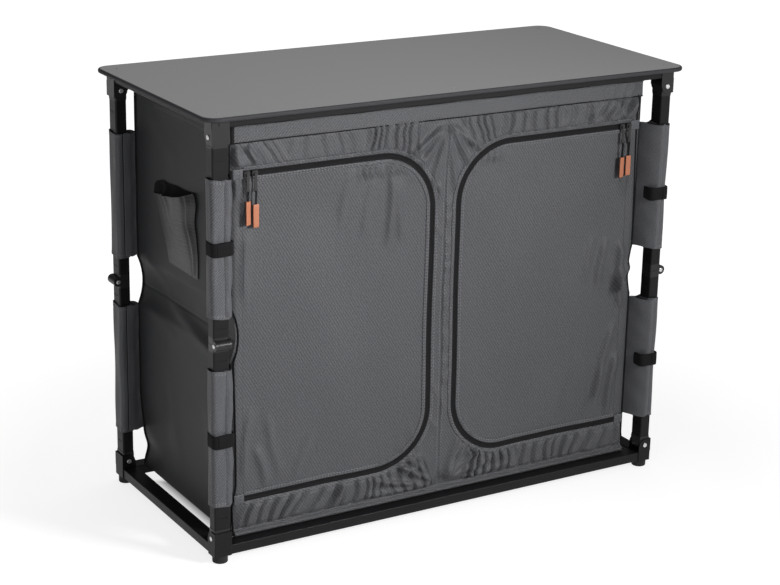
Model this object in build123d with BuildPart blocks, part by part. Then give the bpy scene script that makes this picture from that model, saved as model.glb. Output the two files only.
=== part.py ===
from build123d import *
import os

# Folding camping cupboard: a worktop on four folding legs, with a zipped fabric box between them.
# The origin is on the ground at the centre of the footprint. +X runs along the front to the right,
# +Y to the back and +Z up. Sizes are in millimetres.

os.makedirs("parts", exist_ok=True)

# Worktop
worktop_length = 1000.0
worktop_depth = 474.0
worktop_height = 813.0
board_thickness = 8.0
worktop_corner_radius = 28.0
trim_width = 4.0
trim_edge_radius = 3.0
worktop_overhang = 18.0

# Screws through the board
screw_head_radius = 4.0
screw_head_depth = 2.4
screw_shank_radius = 2.0
screw_grip = 6.0
screw_sink = 0.1

# Rails of the top and of the base
top_rail_width = 15.0
top_rail_height = 14.5
base_rail_width = 29.5
base_rail_height = 19.0
rail_wall = 1.3
rail_corner_radius = 2.0
rail_setback = 2.0

# Feet
foot_radius = 14.0
foot_height = 14.0
foot_edge_radius = 2.0

# Leg tubes: the wide side runs along the hinges, the narrow side in the plane of the fold
tube_width = 30.0
tube_depth = 22.0
tube_wall = 1.3
tube_corner_radius = 3.0
crimp_length = 20.0
crimp_height = 1.6
crimp_depth = 0.7
crimp_from_tongue_end = 22.0
crimp_from_knee_end = 16.0

# Corner brackets
ear_thickness = 1.9
ear_clearance = 0.1
web_thickness = 2.7
web_clearance = 0.3
ear_radius = 12.6
bracket_edge_radius = 1.5
base_pivot_above_rail = 14.0
top_pivot_below_rail = 15.5
boss_radius = 3.6
boss_height = 1.0

# Rivets
rivet_radius = 3.0
rivet_head_radius = 4.5
rivet_head_height = 1.5
rivet_dome_radius = 1.0
bore_clearance = 0.05

# End plugs and knees
plug_length = 14.0
plug_clearance = 0.15
collar_gap = 15.5
collar_height = 3.0
collar_lip = 0.6
knee_standoff = 2.0
knee_block_height = 13.0
knee_seat_gap = 0.3
knee_lug_radius = 9.0
knee_lug_width = 18.0
knee_side_clearance = 0.3
knee_relief_clearance = 0.4
knee_pin_radius = 2.5
knee_pin_head_radius = 4.0

# Fabric sleeves and their straps
sleeve_length = 254.0
sleeve_from_knee = 47.0
sleeve_gap = 0.4
sleeve_side_gap = 1.8
sleeve_thickness = 0.7
sleeve_corner_radius = 5.0
strap_width = 28.0
strap_thickness = 0.6
strap_gap = 0.05
upper_strap_from_knee = 165.0
lower_strap_from_knee = 180.0

# Fabric box
box_end_inset = 49.0
box_front_inset = 33.0
box_bottom = 34.0
fabric_thickness = 1.6
floor_cloth_thickness = 1.2
fabric_clearance = 0.3
knee_bow = 10.0
header_depth = 50.0
header_bead = 1.2
flap_clearance = 0.4

# Boards inside the box
board_stiffener_thickness = 4.0
floor_sleeve_clearance = 0.9
shelf_height = 400.0
board_centre_gap = 2.0

# Doors, zips, end tabs, sliders and pullers
door_hinge_inset = 24.0
door_inner_x = 28.0
door_below_header = 55.0
door_above_foot = 69.0
door_corner_radius = 108.0
door_gap = 0.4
cut_overrun = 1.0
zip_width = 9.0
zip_thickness = 1.7
end_tab_width = 20.0
end_tab_height = 18.0
end_tab_thickness = 1.0
slider_length = 11.0
slider_height = 9.0
slider_thickness = 3.5
slider_corner_radius = 2.5
slider_first = 6.0
slider_pitch = 15.0
bridge_radius = 0.8
bridge_length = 6.4
bridge_standoff = 2.2
bridge_post_width = 1.2
eye_radius = 1.8
eye_length = 3.6
eye_clearance = 0.1
link_width = 5.5
link_thickness = 1.2
link_neck_height = 4.0
link_length = 33.0
link_window_width = 3.4
link_window_height = 5.0
link_bar_height = 1.4
pull_cord_radius = 0.7
pull_cord_drop = 52.0
pull_tab_width = 12.0
pull_tab_length = 46.0
pull_tab_corner_radius = 1.5

# Side pocket, on the left
pocket_from_back = 61.0
pocket_width = 180.0
pocket_taper = 60.0
pocket_above_shelf = 75.0
pocket_height = 152.0
pocket_bulge = 14.0
pocket_thickness = 1.4

# Heights that follow from the sizes above
board_underside = worktop_height - board_thickness
top_rail_bottom = board_underside - top_rail_height
top_pivot_height = top_rail_bottom - top_pivot_below_rail
base_rail_top = foot_height + base_rail_height
base_pivot_height = base_rail_top + base_pivot_above_rail
knee_height = (top_pivot_height + base_pivot_height) / 2
boss_middle = (top_rail_bottom + board_underside) / 2
box_top = board_underside - fabric_clearance
header_seam_height = board_underside - header_depth
door_top = header_seam_height - door_below_header
door_bottom = box_bottom + door_above_foot
pocket_bottom = shelf_height + pocket_above_shelf
pocket_top = pocket_bottom + pocket_height

# Plan sizes that follow from the sizes above
frame_half_length = worktop_length / 2 - worktop_overhang
frame_half_depth = worktop_depth / 2 - worktop_overhang
bracket_width = tube_width + 2 * (ear_clearance + ear_thickness)
bracket_depth = tube_depth + 2 * (web_clearance + web_thickness)
knee_offset = tube_depth / 2 + knee_standoff
box_half_length = frame_half_length - box_end_inset
box_half_depth = frame_half_depth - box_front_inset
door_hinge_x = box_half_length - door_hinge_inset
end_tab_x = door_hinge_x + fabric_clearance + end_tab_width / 2
pocket_back_y = box_half_depth - pocket_from_back
pocket_front_y = pocket_back_y - pocket_width

# Each leg folds inwards towards its next neighbour, so that the four chase each other round the
# frame and none is in another's way. The knee's lug stands out on the side away from the fold.
leg_folds = {
    "front_left": (-1, -1, Vector(0, 1, 0)),
    "front_right": (1, -1, Vector(-1, 0, 0)),
    "back_right": (1, 1, Vector(0, -1, 0)),
    "back_left": (-1, 1, Vector(1, 0, 0)),
}


def finish(piece, name):
    """Labels a piece and writes it."""
    piece.part.label = name
    export_step(piece.part, f"parts/{name}.step")


def leg_centre(name):
    """Plan position of a leg's axis."""
    side_x, side_y, inwards = leg_folds[name]
    if inwards.X == 0:
        reach_x, reach_y = bracket_width / 2, bracket_depth / 2
    else:
        reach_x, reach_y = bracket_depth / 2, bracket_width / 2
    return Vector(side_x * (frame_half_length - reach_x), side_y * (frame_half_depth - reach_y), 0)


def leg_plan(name, height):
    """Level plane at a leg: its X points the way the knee folds and its Y runs along the hinges."""
    return Plane(origin=leg_centre(name), x_dir=leg_folds[name][2], z_dir=(0, 0, 1)).offset(height)


def leg_side(name):
    """Upright plane of a leg's fold: its X points the way the knee folds and its Y points up."""
    inwards = leg_folds[name][2]
    return Plane(origin=leg_centre(name), x_dir=inwards, z_dir=inwards.cross(Vector(0, 0, 1)))


def bracket(name, rail_low, rail_high, pivot_height):
    """Adds one corner bracket: a block between the rails, a web and two ears round the pivot."""
    rail_face = rail_high if pivot_height > rail_high else rail_low
    tip = pivot_height + ear_radius if pivot_height > rail_high else pivot_height - ear_radius
    web_face = -bracket_depth / 2
    with BuildSketch(leg_plan(name, rail_low)) as profile:
        RectangleRounded(bracket_depth, bracket_width, bracket_edge_radius)
    extrude(profile.sketch, amount=rail_high - rail_low)
    with BuildSketch(leg_side(name)) as profile:
        with Locations((0, (rail_face + pivot_height) / 2)):
            Rectangle(bracket_depth, abs(pivot_height - rail_face))
        with Locations((0, pivot_height)):
            Circle(ear_radius)
        with Locations((web_face / 2, (pivot_height + tip) / 2)):
            Rectangle(bracket_depth / 2, abs(tip - pivot_height))
    extrude(profile.sketch, amount=bracket_width / 2, both=True)
    with BuildSketch(leg_side(name)) as profile:
        with Locations((web_thickness / 2, (rail_face + tip) / 2)):
            Rectangle(bracket_depth - web_thickness, abs(tip - rail_face))
    extrude(profile.sketch, amount=bracket_width / 2 - ear_thickness, both=True, mode=Mode.SUBTRACT)
    with BuildSketch(leg_side(name)) as profile:
        with Locations((0, pivot_height)):
            Circle(rivet_radius + bore_clearance)
    extrude(profile.sketch, amount=bracket_width, both=True, mode=Mode.SUBTRACT)


def rivet(name, height, axis_x, shank_radius, head_radius, span):
    """Adds one rivet along a leg's hinge, with a domed head at each end."""
    side = leg_side(name)
    with BuildSketch(side) as shank:
        with Locations((axis_x, height)):
            Circle(shank_radius)
    extrude(shank.sketch, amount=span / 2, both=True)
    for way in (1, -1):
        with BuildSketch(side.offset(way * span / 2)) as head:
            with Locations((axis_x, height)):
                Circle(head_radius)
        extrude(head.sketch, amount=way * rivet_head_height)
        outermost = faces(Select.LAST).sort_by(Axis(side.origin, side.z_dir * way))[-1]
        fillet(outermost.edges(), rivet_dome_radius)


def tongue(name, pivot_height, way):
    """Adds a tube's end plug at a bracket. Way is 1 where the leg rises from it, -1 where it hangs."""
    collar_low = pivot_height + way * collar_gap
    collar_high = collar_low + way * collar_height
    with BuildSketch(leg_side(name)) as profile:
        with Locations((0, (pivot_height + collar_low) / 2)):
            Rectangle(tube_depth, collar_gap)
        with Locations((0, pivot_height)):
            Circle(tube_depth / 2)
    extrude(profile.sketch, amount=tube_width / 2, both=True)
    with BuildSketch(leg_plan(name, collar_low)) as profile:
        RectangleRounded(tube_depth + 2 * collar_lip, tube_width + 2 * collar_lip,
                         tube_corner_radius + collar_lip)
    extrude(profile.sketch, amount=way * collar_height)
    plug(name, collar_high, way)
    with BuildSketch(leg_side(name)) as profile:
        with Locations((0, pivot_height)):
            Circle(rivet_radius + bore_clearance)
    extrude(profile.sketch, amount=tube_width, both=True, mode=Mode.SUBTRACT)


def plug(name, start, way):
    """Adds the part of an end fitting that fills the end of a tube."""
    inset = tube_wall + plug_clearance
    with BuildSketch(leg_plan(name, start)) as profile:
        RectangleRounded(tube_depth - 2 * inset, tube_width - 2 * inset, tube_corner_radius - inset)
    extrude(profile.sketch, amount=way * plug_length)


def knee(name, way):
    """Adds one half of a knee: way -1 is the clevis on the lower leg, 1 the lug on the upper."""
    seat = knee_height + way * knee_seat_gap
    tube_end = knee_height + way * knee_block_height
    clevis_inner = knee_lug_width / 2 + knee_side_clearance
    relief = knee_lug_radius + knee_relief_clearance
    with BuildSketch(leg_plan(name, seat)) as profile:
        RectangleRounded(tube_depth, tube_width, tube_corner_radius)
    extrude(profile.sketch, amount=tube_end - seat)
    plug(name, tube_end, way)
    if way < 0:
        cut_slots = [(0, clevis_inner)]
        lugs = [((tube_width / 2 + clevis_inner) / 2, (tube_width / 2 - clevis_inner) / 2)]
        lugs.append((-lugs[0][0], lugs[0][1]))
    else:
        reach = (tube_width / 2 - knee_lug_width / 2) / 2
        cut_slots = [(knee_lug_width / 2 + reach, reach), (-knee_lug_width / 2 - reach, reach)]
        lugs = [(0, knee_lug_width / 2)]
    for middle, half in cut_slots:
        with BuildSketch(leg_side(name).offset(middle)) as profile:
            with Locations((-knee_offset, knee_height)):
                Circle(relief)
        extrude(profile.sketch, amount=half, both=True, mode=Mode.SUBTRACT)
    for middle, half in lugs:
        with BuildSketch(leg_side(name).offset(middle)) as profile:
            with Locations((-knee_offset, knee_height)):
                Circle(knee_lug_radius)
        extrude(profile.sketch, amount=half, both=True)
    with BuildSketch(leg_side(name)) as profile:
        with Locations((-knee_offset, knee_height)):
            Circle(knee_pin_radius + bore_clearance)
    extrude(profile.sketch, amount=tube_width, both=True, mode=Mode.SUBTRACT)


def crimp(name, height):
    """Presses a short level mark into both wide sides of a tube."""
    with BuildSketch(leg_plan(name, height)) as profile:
        for way in (1, -1):
            with Locations((way * tube_depth / 2, 0)):
                Rectangle(2 * crimp_depth, crimp_length)
    extrude(profile.sketch, amount=crimp_height / 2, both=True, mode=Mode.SUBTRACT)


def sleeve_ring(name, low, high, inner_gap, inner_side_gap, thickness, corner):
    """Adds a ring of cloth round a leg."""
    depth = tube_depth + 2 * inner_gap
    width = tube_width + 2 * inner_side_gap
    with BuildSketch(leg_plan(name, low)) as profile:
        RectangleRounded(depth + 2 * thickness, width + 2 * thickness, corner)
        RectangleRounded(depth, width, corner - thickness, mode=Mode.SUBTRACT)
    extrude(profile.sketch, amount=high - low)


def make_leg(name):
    """Makes the pieces of one folding leg."""
    knee_ends = {"lower": knee_height - knee_block_height, "upper": knee_height + knee_block_height}
    halves = {
        "lower": (-1, base_pivot_height, 1, lower_strap_from_knee),
        "upper": (1, top_pivot_height, -1, upper_strap_from_knee),
    }
    for half, (away, pivot_height, way, strap_from_knee) in halves.items():
        tongue_end = pivot_height + way * (collar_gap + collar_height)
        low = min(tongue_end, knee_ends[half])
        high = max(tongue_end, knee_ends[half])
        with BuildPart() as tube:
            with BuildSketch(leg_plan(name, low)):
                RectangleRounded(tube_depth, tube_width, tube_corner_radius)
                RectangleRounded(tube_depth - 2 * tube_wall, tube_width - 2 * tube_wall,
                                 tube_corner_radius - tube_wall, mode=Mode.SUBTRACT)
            extrude(amount=high - low)
            crimp(name, tongue_end + way * crimp_from_tongue_end)
            crimp(name, knee_ends[half] - way * crimp_from_knee_end)
        finish(tube, f"{half}_tube_{name}")

        with BuildPart() as fittings:
            tongue(name, pivot_height, way)
            knee(name, away)
        finish(fittings, f"{half}_fittings_{name}")

        sleeve_near = knee_height + away * sleeve_from_knee
        sleeve_far = sleeve_near + away * sleeve_length
        strap_middle = knee_height + away * strap_from_knee
        with BuildPart() as sleeve:
            sleeve_ring(name, min(sleeve_near, sleeve_far), max(sleeve_near, sleeve_far),
                        sleeve_gap, sleeve_side_gap, sleeve_thickness, sleeve_corner_radius)
            if name.startswith("front"):
                sleeve_ring(name, strap_middle - strap_width / 2, strap_middle + strap_width / 2,
                            sleeve_gap + sleeve_thickness + strap_gap,
                            sleeve_side_gap + sleeve_thickness + strap_gap,
                            strap_thickness, sleeve_corner_radius + strap_thickness)
        finish(sleeve, f"{half}_sleeve_{name}")

    with BuildPart() as pin:
        rivet(name, knee_height, -knee_offset, knee_pin_radius, knee_pin_head_radius, tube_width)
    finish(pin, f"knee_pin_{name}")


def rail_runs(width):
    """Middle, length and direction of the four rails between the brackets, seen from above."""
    long_gap_middle = (bracket_width - bracket_depth) / 2
    long_length = 2 * frame_half_length - bracket_width - bracket_depth
    short_length = 2 * frame_half_depth - bracket_width - bracket_depth
    long_y = frame_half_depth - rail_setback - width / 2
    short_x = frame_half_length - rail_setback - width / 2
    return [
        (Vector(long_gap_middle, -long_y, 0), long_length, Vector(1, 0, 0)),
        (Vector(-long_gap_middle, long_y, 0), long_length, Vector(1, 0, 0)),
        (Vector(-short_x, -long_gap_middle, 0), short_length, Vector(0, 1, 0)),
        (Vector(short_x, long_gap_middle, 0), short_length, Vector(0, 1, 0)),
    ]


def rail(middle, length, direction, low, width, height):
    """Adds one hollow rail."""
    start = middle - direction * (length / 2) + Vector(0, 0, low + height / 2)
    with BuildSketch(Plane(origin=start, x_dir=Vector(0, 0, 1), z_dir=direction)) as profile:
        RectangleRounded(height, width, rail_corner_radius)
        RectangleRounded(height - 2 * rail_wall, width - 2 * rail_wall,
                         rail_corner_radius - rail_wall, mode=Mode.SUBTRACT)
    extrude(profile.sketch, amount=length)


def screw_spots():
    """Plan positions of the screws: one over each bracket and one over each long rail."""
    rail_y = frame_half_depth - rail_setback - top_rail_width / 2
    corners = [leg_centre(name) for name in leg_folds]
    return corners + [Vector(0, -rail_y, 0), Vector(0, rail_y, 0)]


def screw_holes():
    """Cuts the screws' holes from the top downwards."""
    with BuildSketch(Plane.XY.offset(board_underside - screw_grip - screw_sink)) as profile:
        for spot in screw_spots():
            with Locations((spot.X, spot.Y)):
                Circle(screw_shank_radius + bore_clearance)
    extrude(profile.sketch, amount=board_thickness + screw_grip + screw_sink, mode=Mode.SUBTRACT)


# Base
with BuildPart() as base_rails:
    for middle, length, direction in rail_runs(base_rail_width):
        rail(middle, length, direction, foot_height, base_rail_width, base_rail_height)
finish(base_rails, "base_rails")

with BuildPart() as base_brackets:
    for leg_name in leg_folds:
        bracket(leg_name, foot_height, base_rail_top, base_pivot_height)
finish(base_brackets, "base_brackets")

with BuildPart() as feet:
    with BuildSketch():
        for leg_name in leg_folds:
            with Locations((leg_centre(leg_name).X, leg_centre(leg_name).Y)):
                Circle(foot_radius)
    extrude(amount=foot_height)
    fillet(edges().group_by(Axis.Z)[0], foot_edge_radius)
finish(feet, "feet")

with BuildPart() as base_rivets:
    for leg_name in leg_folds:
        rivet(leg_name, base_pivot_height, 0, rivet_radius, rivet_head_radius, bracket_width)
finish(base_rivets, "base_rivets")

# Legs
for leg_name in leg_folds:
    make_leg(leg_name)

# Top frame and worktop
with BuildPart() as top_rails:
    for middle, length, direction in rail_runs(top_rail_width):
        rail(middle, length, direction, top_rail_bottom, top_rail_width, top_rail_height)
    screw_holes()
finish(top_rails, "top_rails")

with BuildPart() as top_brackets:
    for leg_name in leg_folds:
        bracket(leg_name, top_rail_bottom, board_underside, top_pivot_height)
        inwards = leg_folds[leg_name][2]
        web_middle = leg_centre(leg_name) - inwards * (bracket_depth / 2) + Vector(0, 0, boss_middle)
        with BuildSketch(Plane(origin=web_middle, x_dir=(0, 0, 1), z_dir=inwards * -1)):
            Circle(boss_radius)
        extrude(amount=boss_height)
    screw_holes()
finish(top_brackets, "top_brackets")

with BuildPart() as top_rivets:
    for leg_name in leg_folds:
        rivet(leg_name, top_pivot_height, 0, rivet_radius, rivet_head_radius, bracket_width)
finish(top_rivets, "top_rivets")

with BuildPart() as worktop:
    with BuildSketch(Plane.XY.offset(board_underside)):
        RectangleRounded(worktop_length - 2 * trim_width, worktop_depth - 2 * trim_width,
                         worktop_corner_radius - trim_width)
    extrude(amount=board_thickness)
    screw_holes()
    with BuildSketch(Plane.XY.offset(worktop_height)):
        for spot in screw_spots():
            with Locations((spot.X, spot.Y)):
                Circle(screw_head_radius + bore_clearance)
    extrude(amount=-screw_head_depth - screw_sink, mode=Mode.SUBTRACT)
finish(worktop, "worktop")

with BuildPart() as edge_trim:
    with BuildSketch(Plane.XY.offset(board_underside)):
        RectangleRounded(worktop_length, worktop_depth, worktop_corner_radius)
    extrude(amount=board_thickness)
    fillet(faces().sort_by(Axis.Z)[0].edges() + faces().sort_by(Axis.Z)[-1].edges(), trim_edge_radius)
    with BuildSketch(Plane.XY.offset(board_underside)):
        RectangleRounded(worktop_length - 2 * trim_width, worktop_depth - 2 * trim_width,
                         worktop_corner_radius - trim_width)
    extrude(amount=board_thickness, mode=Mode.SUBTRACT)
finish(edge_trim, "edge_trim")

with BuildPart() as top_screws:
    with BuildSketch(Plane.XY.offset(board_underside - screw_grip)):
        for spot in screw_spots():
            with Locations((spot.X, spot.Y)):
                Circle(screw_shank_radius)
    extrude(amount=board_thickness + screw_grip - screw_head_depth - screw_sink)
    with BuildSketch(Plane.XY.offset(worktop_height - screw_head_depth - screw_sink)):
        for spot in screw_spots():
            with Locations((spot.X, spot.Y)):
                Circle(screw_head_radius)
    extrude(amount=screw_head_depth)
finish(top_screws, "top_screws")


def bowed_edge(half_width, way):
    """Draws one upright edge of the box from the bottom up, drawn in between the sleeves."""
    below = knee_height - sleeve_from_knee
    above = knee_height + sleeve_from_knee
    Line((way * half_width, box_bottom), (way * half_width, below))
    ThreePointArc((way * half_width, below), (way * (half_width - knee_bow), knee_height),
                  (way * half_width, above))
    Line((way * half_width, above), (way * half_width, box_top))


def door_outline(side, grow, outer_reach, mode=Mode.ADD):
    """Draws a door's face: square at its hinged edge and well rounded at the other two corners."""
    inner = side * (door_inner_x - grow)
    outer = side * (door_hinge_x + outer_reach)
    with BuildLine() as outline:
        FilletPolyline((outer, door_top + grow), (inner, door_top + grow),
                       (inner, door_bottom - grow), (outer, door_bottom - grow),
                       radius=door_corner_radius + grow)
        Line((outer, door_bottom - grow), (outer, door_top + grow))
    make_face(outline.edges(), mode=mode)


def flaps(depth_side):
    """Adds the flaps that tie the box's corners to the outer faces of the sleeves on one side."""
    for name in leg_folds:
        side_x, side_y, inwards = leg_folds[name]
        if side_y != depth_side:
            continue
        centre = leg_centre(name)
        reach = sleeve_thickness + strap_gap + strap_thickness + flap_clearance
        if inwards.X == 0:
            end_x = abs(centre.X) - tube_width / 2 - sleeve_side_gap - reach
            end_y = abs(centre.Y) + tube_depth / 2 - sleeve_corner_radius
        else:
            end_x = abs(centre.X) - tube_depth / 2 - sleeve_gap - reach
            end_y = abs(centre.Y) + tube_width / 2 - sleeve_corner_radius
        for low in (knee_height - sleeve_from_knee - sleeve_length, knee_height + sleeve_from_knee):
            with BuildSketch(Plane.XY.offset(low)) as profile:
                with BuildLine():
                    Polyline(
                        (side_x * box_half_length, side_y * (box_half_depth - fabric_thickness / 2)),
                        (side_x * box_half_length, side_y * (box_half_depth + fabric_thickness / 2)),
                        (side_x * end_x, side_y * end_y),
                        (side_x * end_x, side_y * (end_y - fabric_thickness)),
                        close=True,
                    )
                make_face()
            extrude(profile.sketch, amount=sleeve_length)


def bowed_outline(left, right):
    """Draws the outline of a panel between two upright edges, each given as its place and its side."""
    with BuildLine() as outline:
        for half_width, way in (left, right):
            bowed_edge(half_width, way)
        for height in (box_bottom, box_top):
            Line((left[0] * left[1], height), (right[0] * right[1], height))
    make_face(outline.edges())


# Fabric box
outer_half_length = box_half_length + fabric_thickness / 2
inner_half_length = box_half_length - fabric_thickness / 2
side_half_depth = box_half_depth - fabric_thickness / 2 - fabric_clearance
for panel_name, side_y in (("front_panel", -1), ("back_panel", 1)):
    with BuildPart() as panel:
        with BuildSketch(Plane.XZ.offset(-side_y * box_half_depth)):
            bowed_outline((outer_half_length, -1), (outer_half_length, 1))
            if panel_name == "front_panel":
                for side in (-1, 1):
                    door_outline(side, door_gap, door_gap, Mode.SUBTRACT)
        extrude(amount=fabric_thickness / 2, both=True)
        with BuildSketch(Plane.XZ.offset(-side_y * (box_half_depth + fabric_thickness / 2))):
            with Locations((0, header_seam_height)):
                Rectangle(2 * box_half_length, 2 * header_bead)
        extrude(amount=-side_y * header_bead)
        if panel_name == "front_panel":
            with BuildSketch(Plane.XZ.offset(box_half_depth + fabric_thickness / 2)):
                for side in (-1, 1):
                    with Locations((side * end_tab_x, door_bottom)):
                        Rectangle(end_tab_width, end_tab_height)
            extrude(amount=end_tab_thickness)
        flaps(side_y)
    finish(panel, panel_name)

# The side panels are drawn in at the height of the knees, as the front's and back's edges are.
for side_name, side in (("left", -1), ("right", 1)):
    with BuildPart() as side_panel:
        with BuildSketch(Plane.XZ):
            bowed_outline((outer_half_length, side), (inner_half_length, side))
        extrude(amount=side_half_depth, both=True)
        with BuildSketch(Plane.YZ.offset(side * outer_half_length)):
            with Locations((0, header_seam_height)):
                Rectangle(2 * side_half_depth, 2 * header_bead)
        extrude(amount=side * header_bead)
    finish(side_panel, f"side_panel_{side_name}")

# The floor and the boards stay clear of the sleeves and straps of the legs that fold along the front
# and the back.
sleeve_half_width = (tube_width / 2 + sleeve_side_gap + sleeve_thickness
                     + strap_gap + strap_thickness)
floor_half_depth = abs(leg_centre("front_right").Y) - sleeve_half_width - floor_sleeve_clearance
with BuildPart() as box_floor:
    with BuildSketch(Plane.XY.offset(box_bottom)):
        Rectangle(2 * (inner_half_length - fabric_clearance), 2 * floor_half_depth)
    extrude(amount=floor_cloth_thickness)
finish(box_floor, "box_floor")

# The stiff boards lie on the floor and in the middle shelf, one on each side of the divider.
board_reach = box_half_length - knee_bow - fabric_thickness / 2 - flap_clearance
floor_board_low = box_bottom + floor_cloth_thickness
for board_name, low in (("floor_boards", floor_board_low), ("shelf_boards", shelf_height)):
    with BuildPart() as boards:
        with BuildSketch(Plane.XY.offset(low)):
            for side in (-1, 1):
                with Locations((side * (board_reach + board_centre_gap) / 2, 0)):
                    Rectangle(board_reach - board_centre_gap, 2 * floor_half_depth)
        extrude(amount=board_stiffener_thickness)
    finish(boards, board_name)

divider_runs = [
    (floor_board_low, shelf_height - fabric_clearance),
    (shelf_height + board_stiffener_thickness + fabric_clearance, box_top),
]
with BuildPart() as divider:
    for low, high in divider_runs:
        with BuildSketch(Plane.XY.offset(low)):
            Rectangle(fabric_thickness, 2 * side_half_depth)
        extrude(amount=high - low)
finish(divider, "divider")

# The pocket stands open at the top, lies flat along its sides and its foot, and narrows downwards.
pocket_face = -(outer_half_length + fabric_clearance)
with BuildPart() as side_pocket:
    pocket_middle = (pocket_front_y + pocket_back_y) / 2
    foot_middle = pocket_middle - pocket_taper / 2
    for bulge, mode in ((pocket_bulge, Mode.ADD), (pocket_bulge - pocket_thickness, Mode.SUBTRACT)):
        foot = pocket_bottom + pocket_bulge - bulge
        inset = pocket_bulge - bulge
        with BuildSketch(Plane.XY.offset(foot)):
            with Locations((pocket_face - pocket_thickness / 2, foot_middle)):
                Rectangle(pocket_thickness, pocket_width - pocket_taper - 2 * inset)
        with BuildSketch(Plane.XY.offset(pocket_top)):
            with BuildLine():
                Line((pocket_face, pocket_front_y + inset), (pocket_face, pocket_back_y - inset))
                ThreePointArc((pocket_face, pocket_front_y + inset),
                              (pocket_face - bulge, pocket_middle),
                              (pocket_face, pocket_back_y - inset))
            make_face()
        loft(ruled=True, mode=mode)
finish(side_pocket, "side_pocket")

# Doors and zips
door_plane = Plane.XZ.offset(box_half_depth)
zip_plane = Plane.XZ.offset(box_half_depth + fabric_thickness / 2 + fabric_clearance)
zip_front_y = -(box_half_depth + fabric_thickness / 2 + fabric_clearance + zip_thickness)
for side_name, side in (("left", -1), ("right", 1)):
    with BuildPart() as door:
        with BuildSketch(door_plane):
            door_outline(side, 0, 0)
        extrude(amount=fabric_thickness / 2, both=True)
    finish(door, f"door_{side_name}")

    with BuildPart() as zip_tape:
        with BuildSketch(zip_plane):
            door_outline(side, zip_width / 2, 0)
            door_outline(side, -zip_width / 2, cut_overrun, Mode.SUBTRACT)
        extrude(amount=zip_thickness)
    finish(zip_tape, f"zip_{side_name}")

with BuildPart() as zip_end_tabs:
    with BuildSketch(Plane.XZ.offset(fabric_clearance - zip_front_y)):
        for side in (-1, 1):
            with Locations((side * end_tab_x, door_top)):
                Rectangle(end_tab_width, end_tab_height)
    extrude(amount=end_tab_thickness)
finish(zip_end_tabs, "zip_end_tabs")

# Sliders, each with a bridge that its puller hangs from
slider_back_y = zip_front_y - fabric_clearance
slider_front_y = slider_back_y - slider_thickness
bridge_y = slider_front_y - bridge_standoff
slider_start = door_hinge_x - slider_first
slider_middles = [slider_start - step * slider_pitch for step in range(2)]
for side_name, side in (("left", -1), ("right", 1)):
    with BuildPart() as sliders:
        with BuildSketch(Plane.XZ.offset(-slider_back_y)):
            for middle in slider_middles:
                with Locations((side * middle, door_top)):
                    RectangleRounded(slider_length, slider_height, slider_corner_radius)
        extrude(amount=slider_thickness)
        with BuildSketch(Plane.XZ.offset(-slider_front_y)):
            for middle in slider_middles:
                for way in (1, -1):
                    post_x = side * middle + way * (bridge_length - bridge_post_width) / 2
                    with Locations((post_x, door_top)):
                        Rectangle(bridge_post_width, 2 * bridge_radius)
        extrude(amount=bridge_standoff + bridge_radius)
        for middle in slider_middles:
            start = (side * middle - bridge_length / 2, bridge_y, door_top)
            with BuildSketch(Plane(origin=start, x_dir=(0, 1, 0), z_dir=(1, 0, 0))):
                Circle(bridge_radius)
            extrude(amount=bridge_length)
    finish(sliders, f"sliders_{side_name}")


def make_puller(name, middle):
    """Makes a puller: an eye on the bridge, a link, a cord loop round the link's foot, and a tab."""
    link_foot = door_top - link_length
    bar_middle = link_foot + link_bar_height / 2
    tab_top = door_top - pull_cord_drop
    bar_reach = ((link_bar_height / 2) ** 2 + (link_thickness / 2) ** 2) ** 0.5
    loop_radius = bar_reach + pull_cord_radius + eye_clearance
    tab_thickness = 2 * (loop_radius + pull_cord_radius)
    plate_length = link_length - link_neck_height
    with BuildPart() as puller:
        with BuildSketch(Plane(origin=(middle, bridge_y, door_top), x_dir=(0, 1, 0), z_dir=(1, 0, 0))):
            Circle(eye_radius)
        extrude(amount=eye_length / 2, both=True)
        with BuildSketch(Plane.XZ.offset(-bridge_y)):
            with Locations((middle, link_foot + plate_length / 2)):
                RectangleRounded(link_width, plate_length, link_thickness)
            with Locations((middle, door_top - link_neck_height)):
                Rectangle(eye_length, 2 * link_neck_height)
            with Locations((middle, door_top + link_neck_height / 2)):
                Rectangle(link_width, link_neck_height, mode=Mode.SUBTRACT)
            with Locations((middle, link_foot + link_bar_height + link_window_height / 2)):
                Rectangle(link_window_width, link_window_height, mode=Mode.SUBTRACT)
        extrude(amount=link_thickness / 2, both=True)
        with BuildSketch(Plane(origin=(middle, bridge_y, door_top), x_dir=(0, 1, 0), z_dir=(1, 0, 0))):
            Circle(bridge_radius + eye_clearance)
        extrude(amount=link_width, both=True, mode=Mode.SUBTRACT)
        with BuildLine(Plane(origin=(middle, bridge_y, 0), x_dir=(0, 1, 0), z_dir=(1, 0, 0))):
            Line((-loop_radius, tab_top), (-loop_radius, bar_middle))
            ThreePointArc((-loop_radius, bar_middle), (0, bar_middle + loop_radius),
                          (loop_radius, bar_middle))
            Line((loop_radius, bar_middle), (loop_radius, tab_top))
        with BuildSketch(Plane.XY.offset(tab_top)):
            with Locations((middle, bridge_y - loop_radius)):
                Circle(pull_cord_radius)
        sweep()
        with BuildSketch(Plane.XZ.offset(-bridge_y)):
            with Locations((middle, tab_top - pull_tab_length / 2)):
                RectangleRounded(pull_tab_width, pull_tab_length, pull_tab_corner_radius)
        extrude(amount=tab_thickness / 2, both=True)
    finish(puller, name)


for side_name, side in (("left", -1), ("right", 1)):
    for place, middle in zip(("outer", "inner"), slider_middles):
        make_puller(f"puller_{side_name}_{place}", side * middle)
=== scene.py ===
import math
import random

import bmesh
import bpy
import numpy as np
from mathutils import Matrix, Vector


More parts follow.
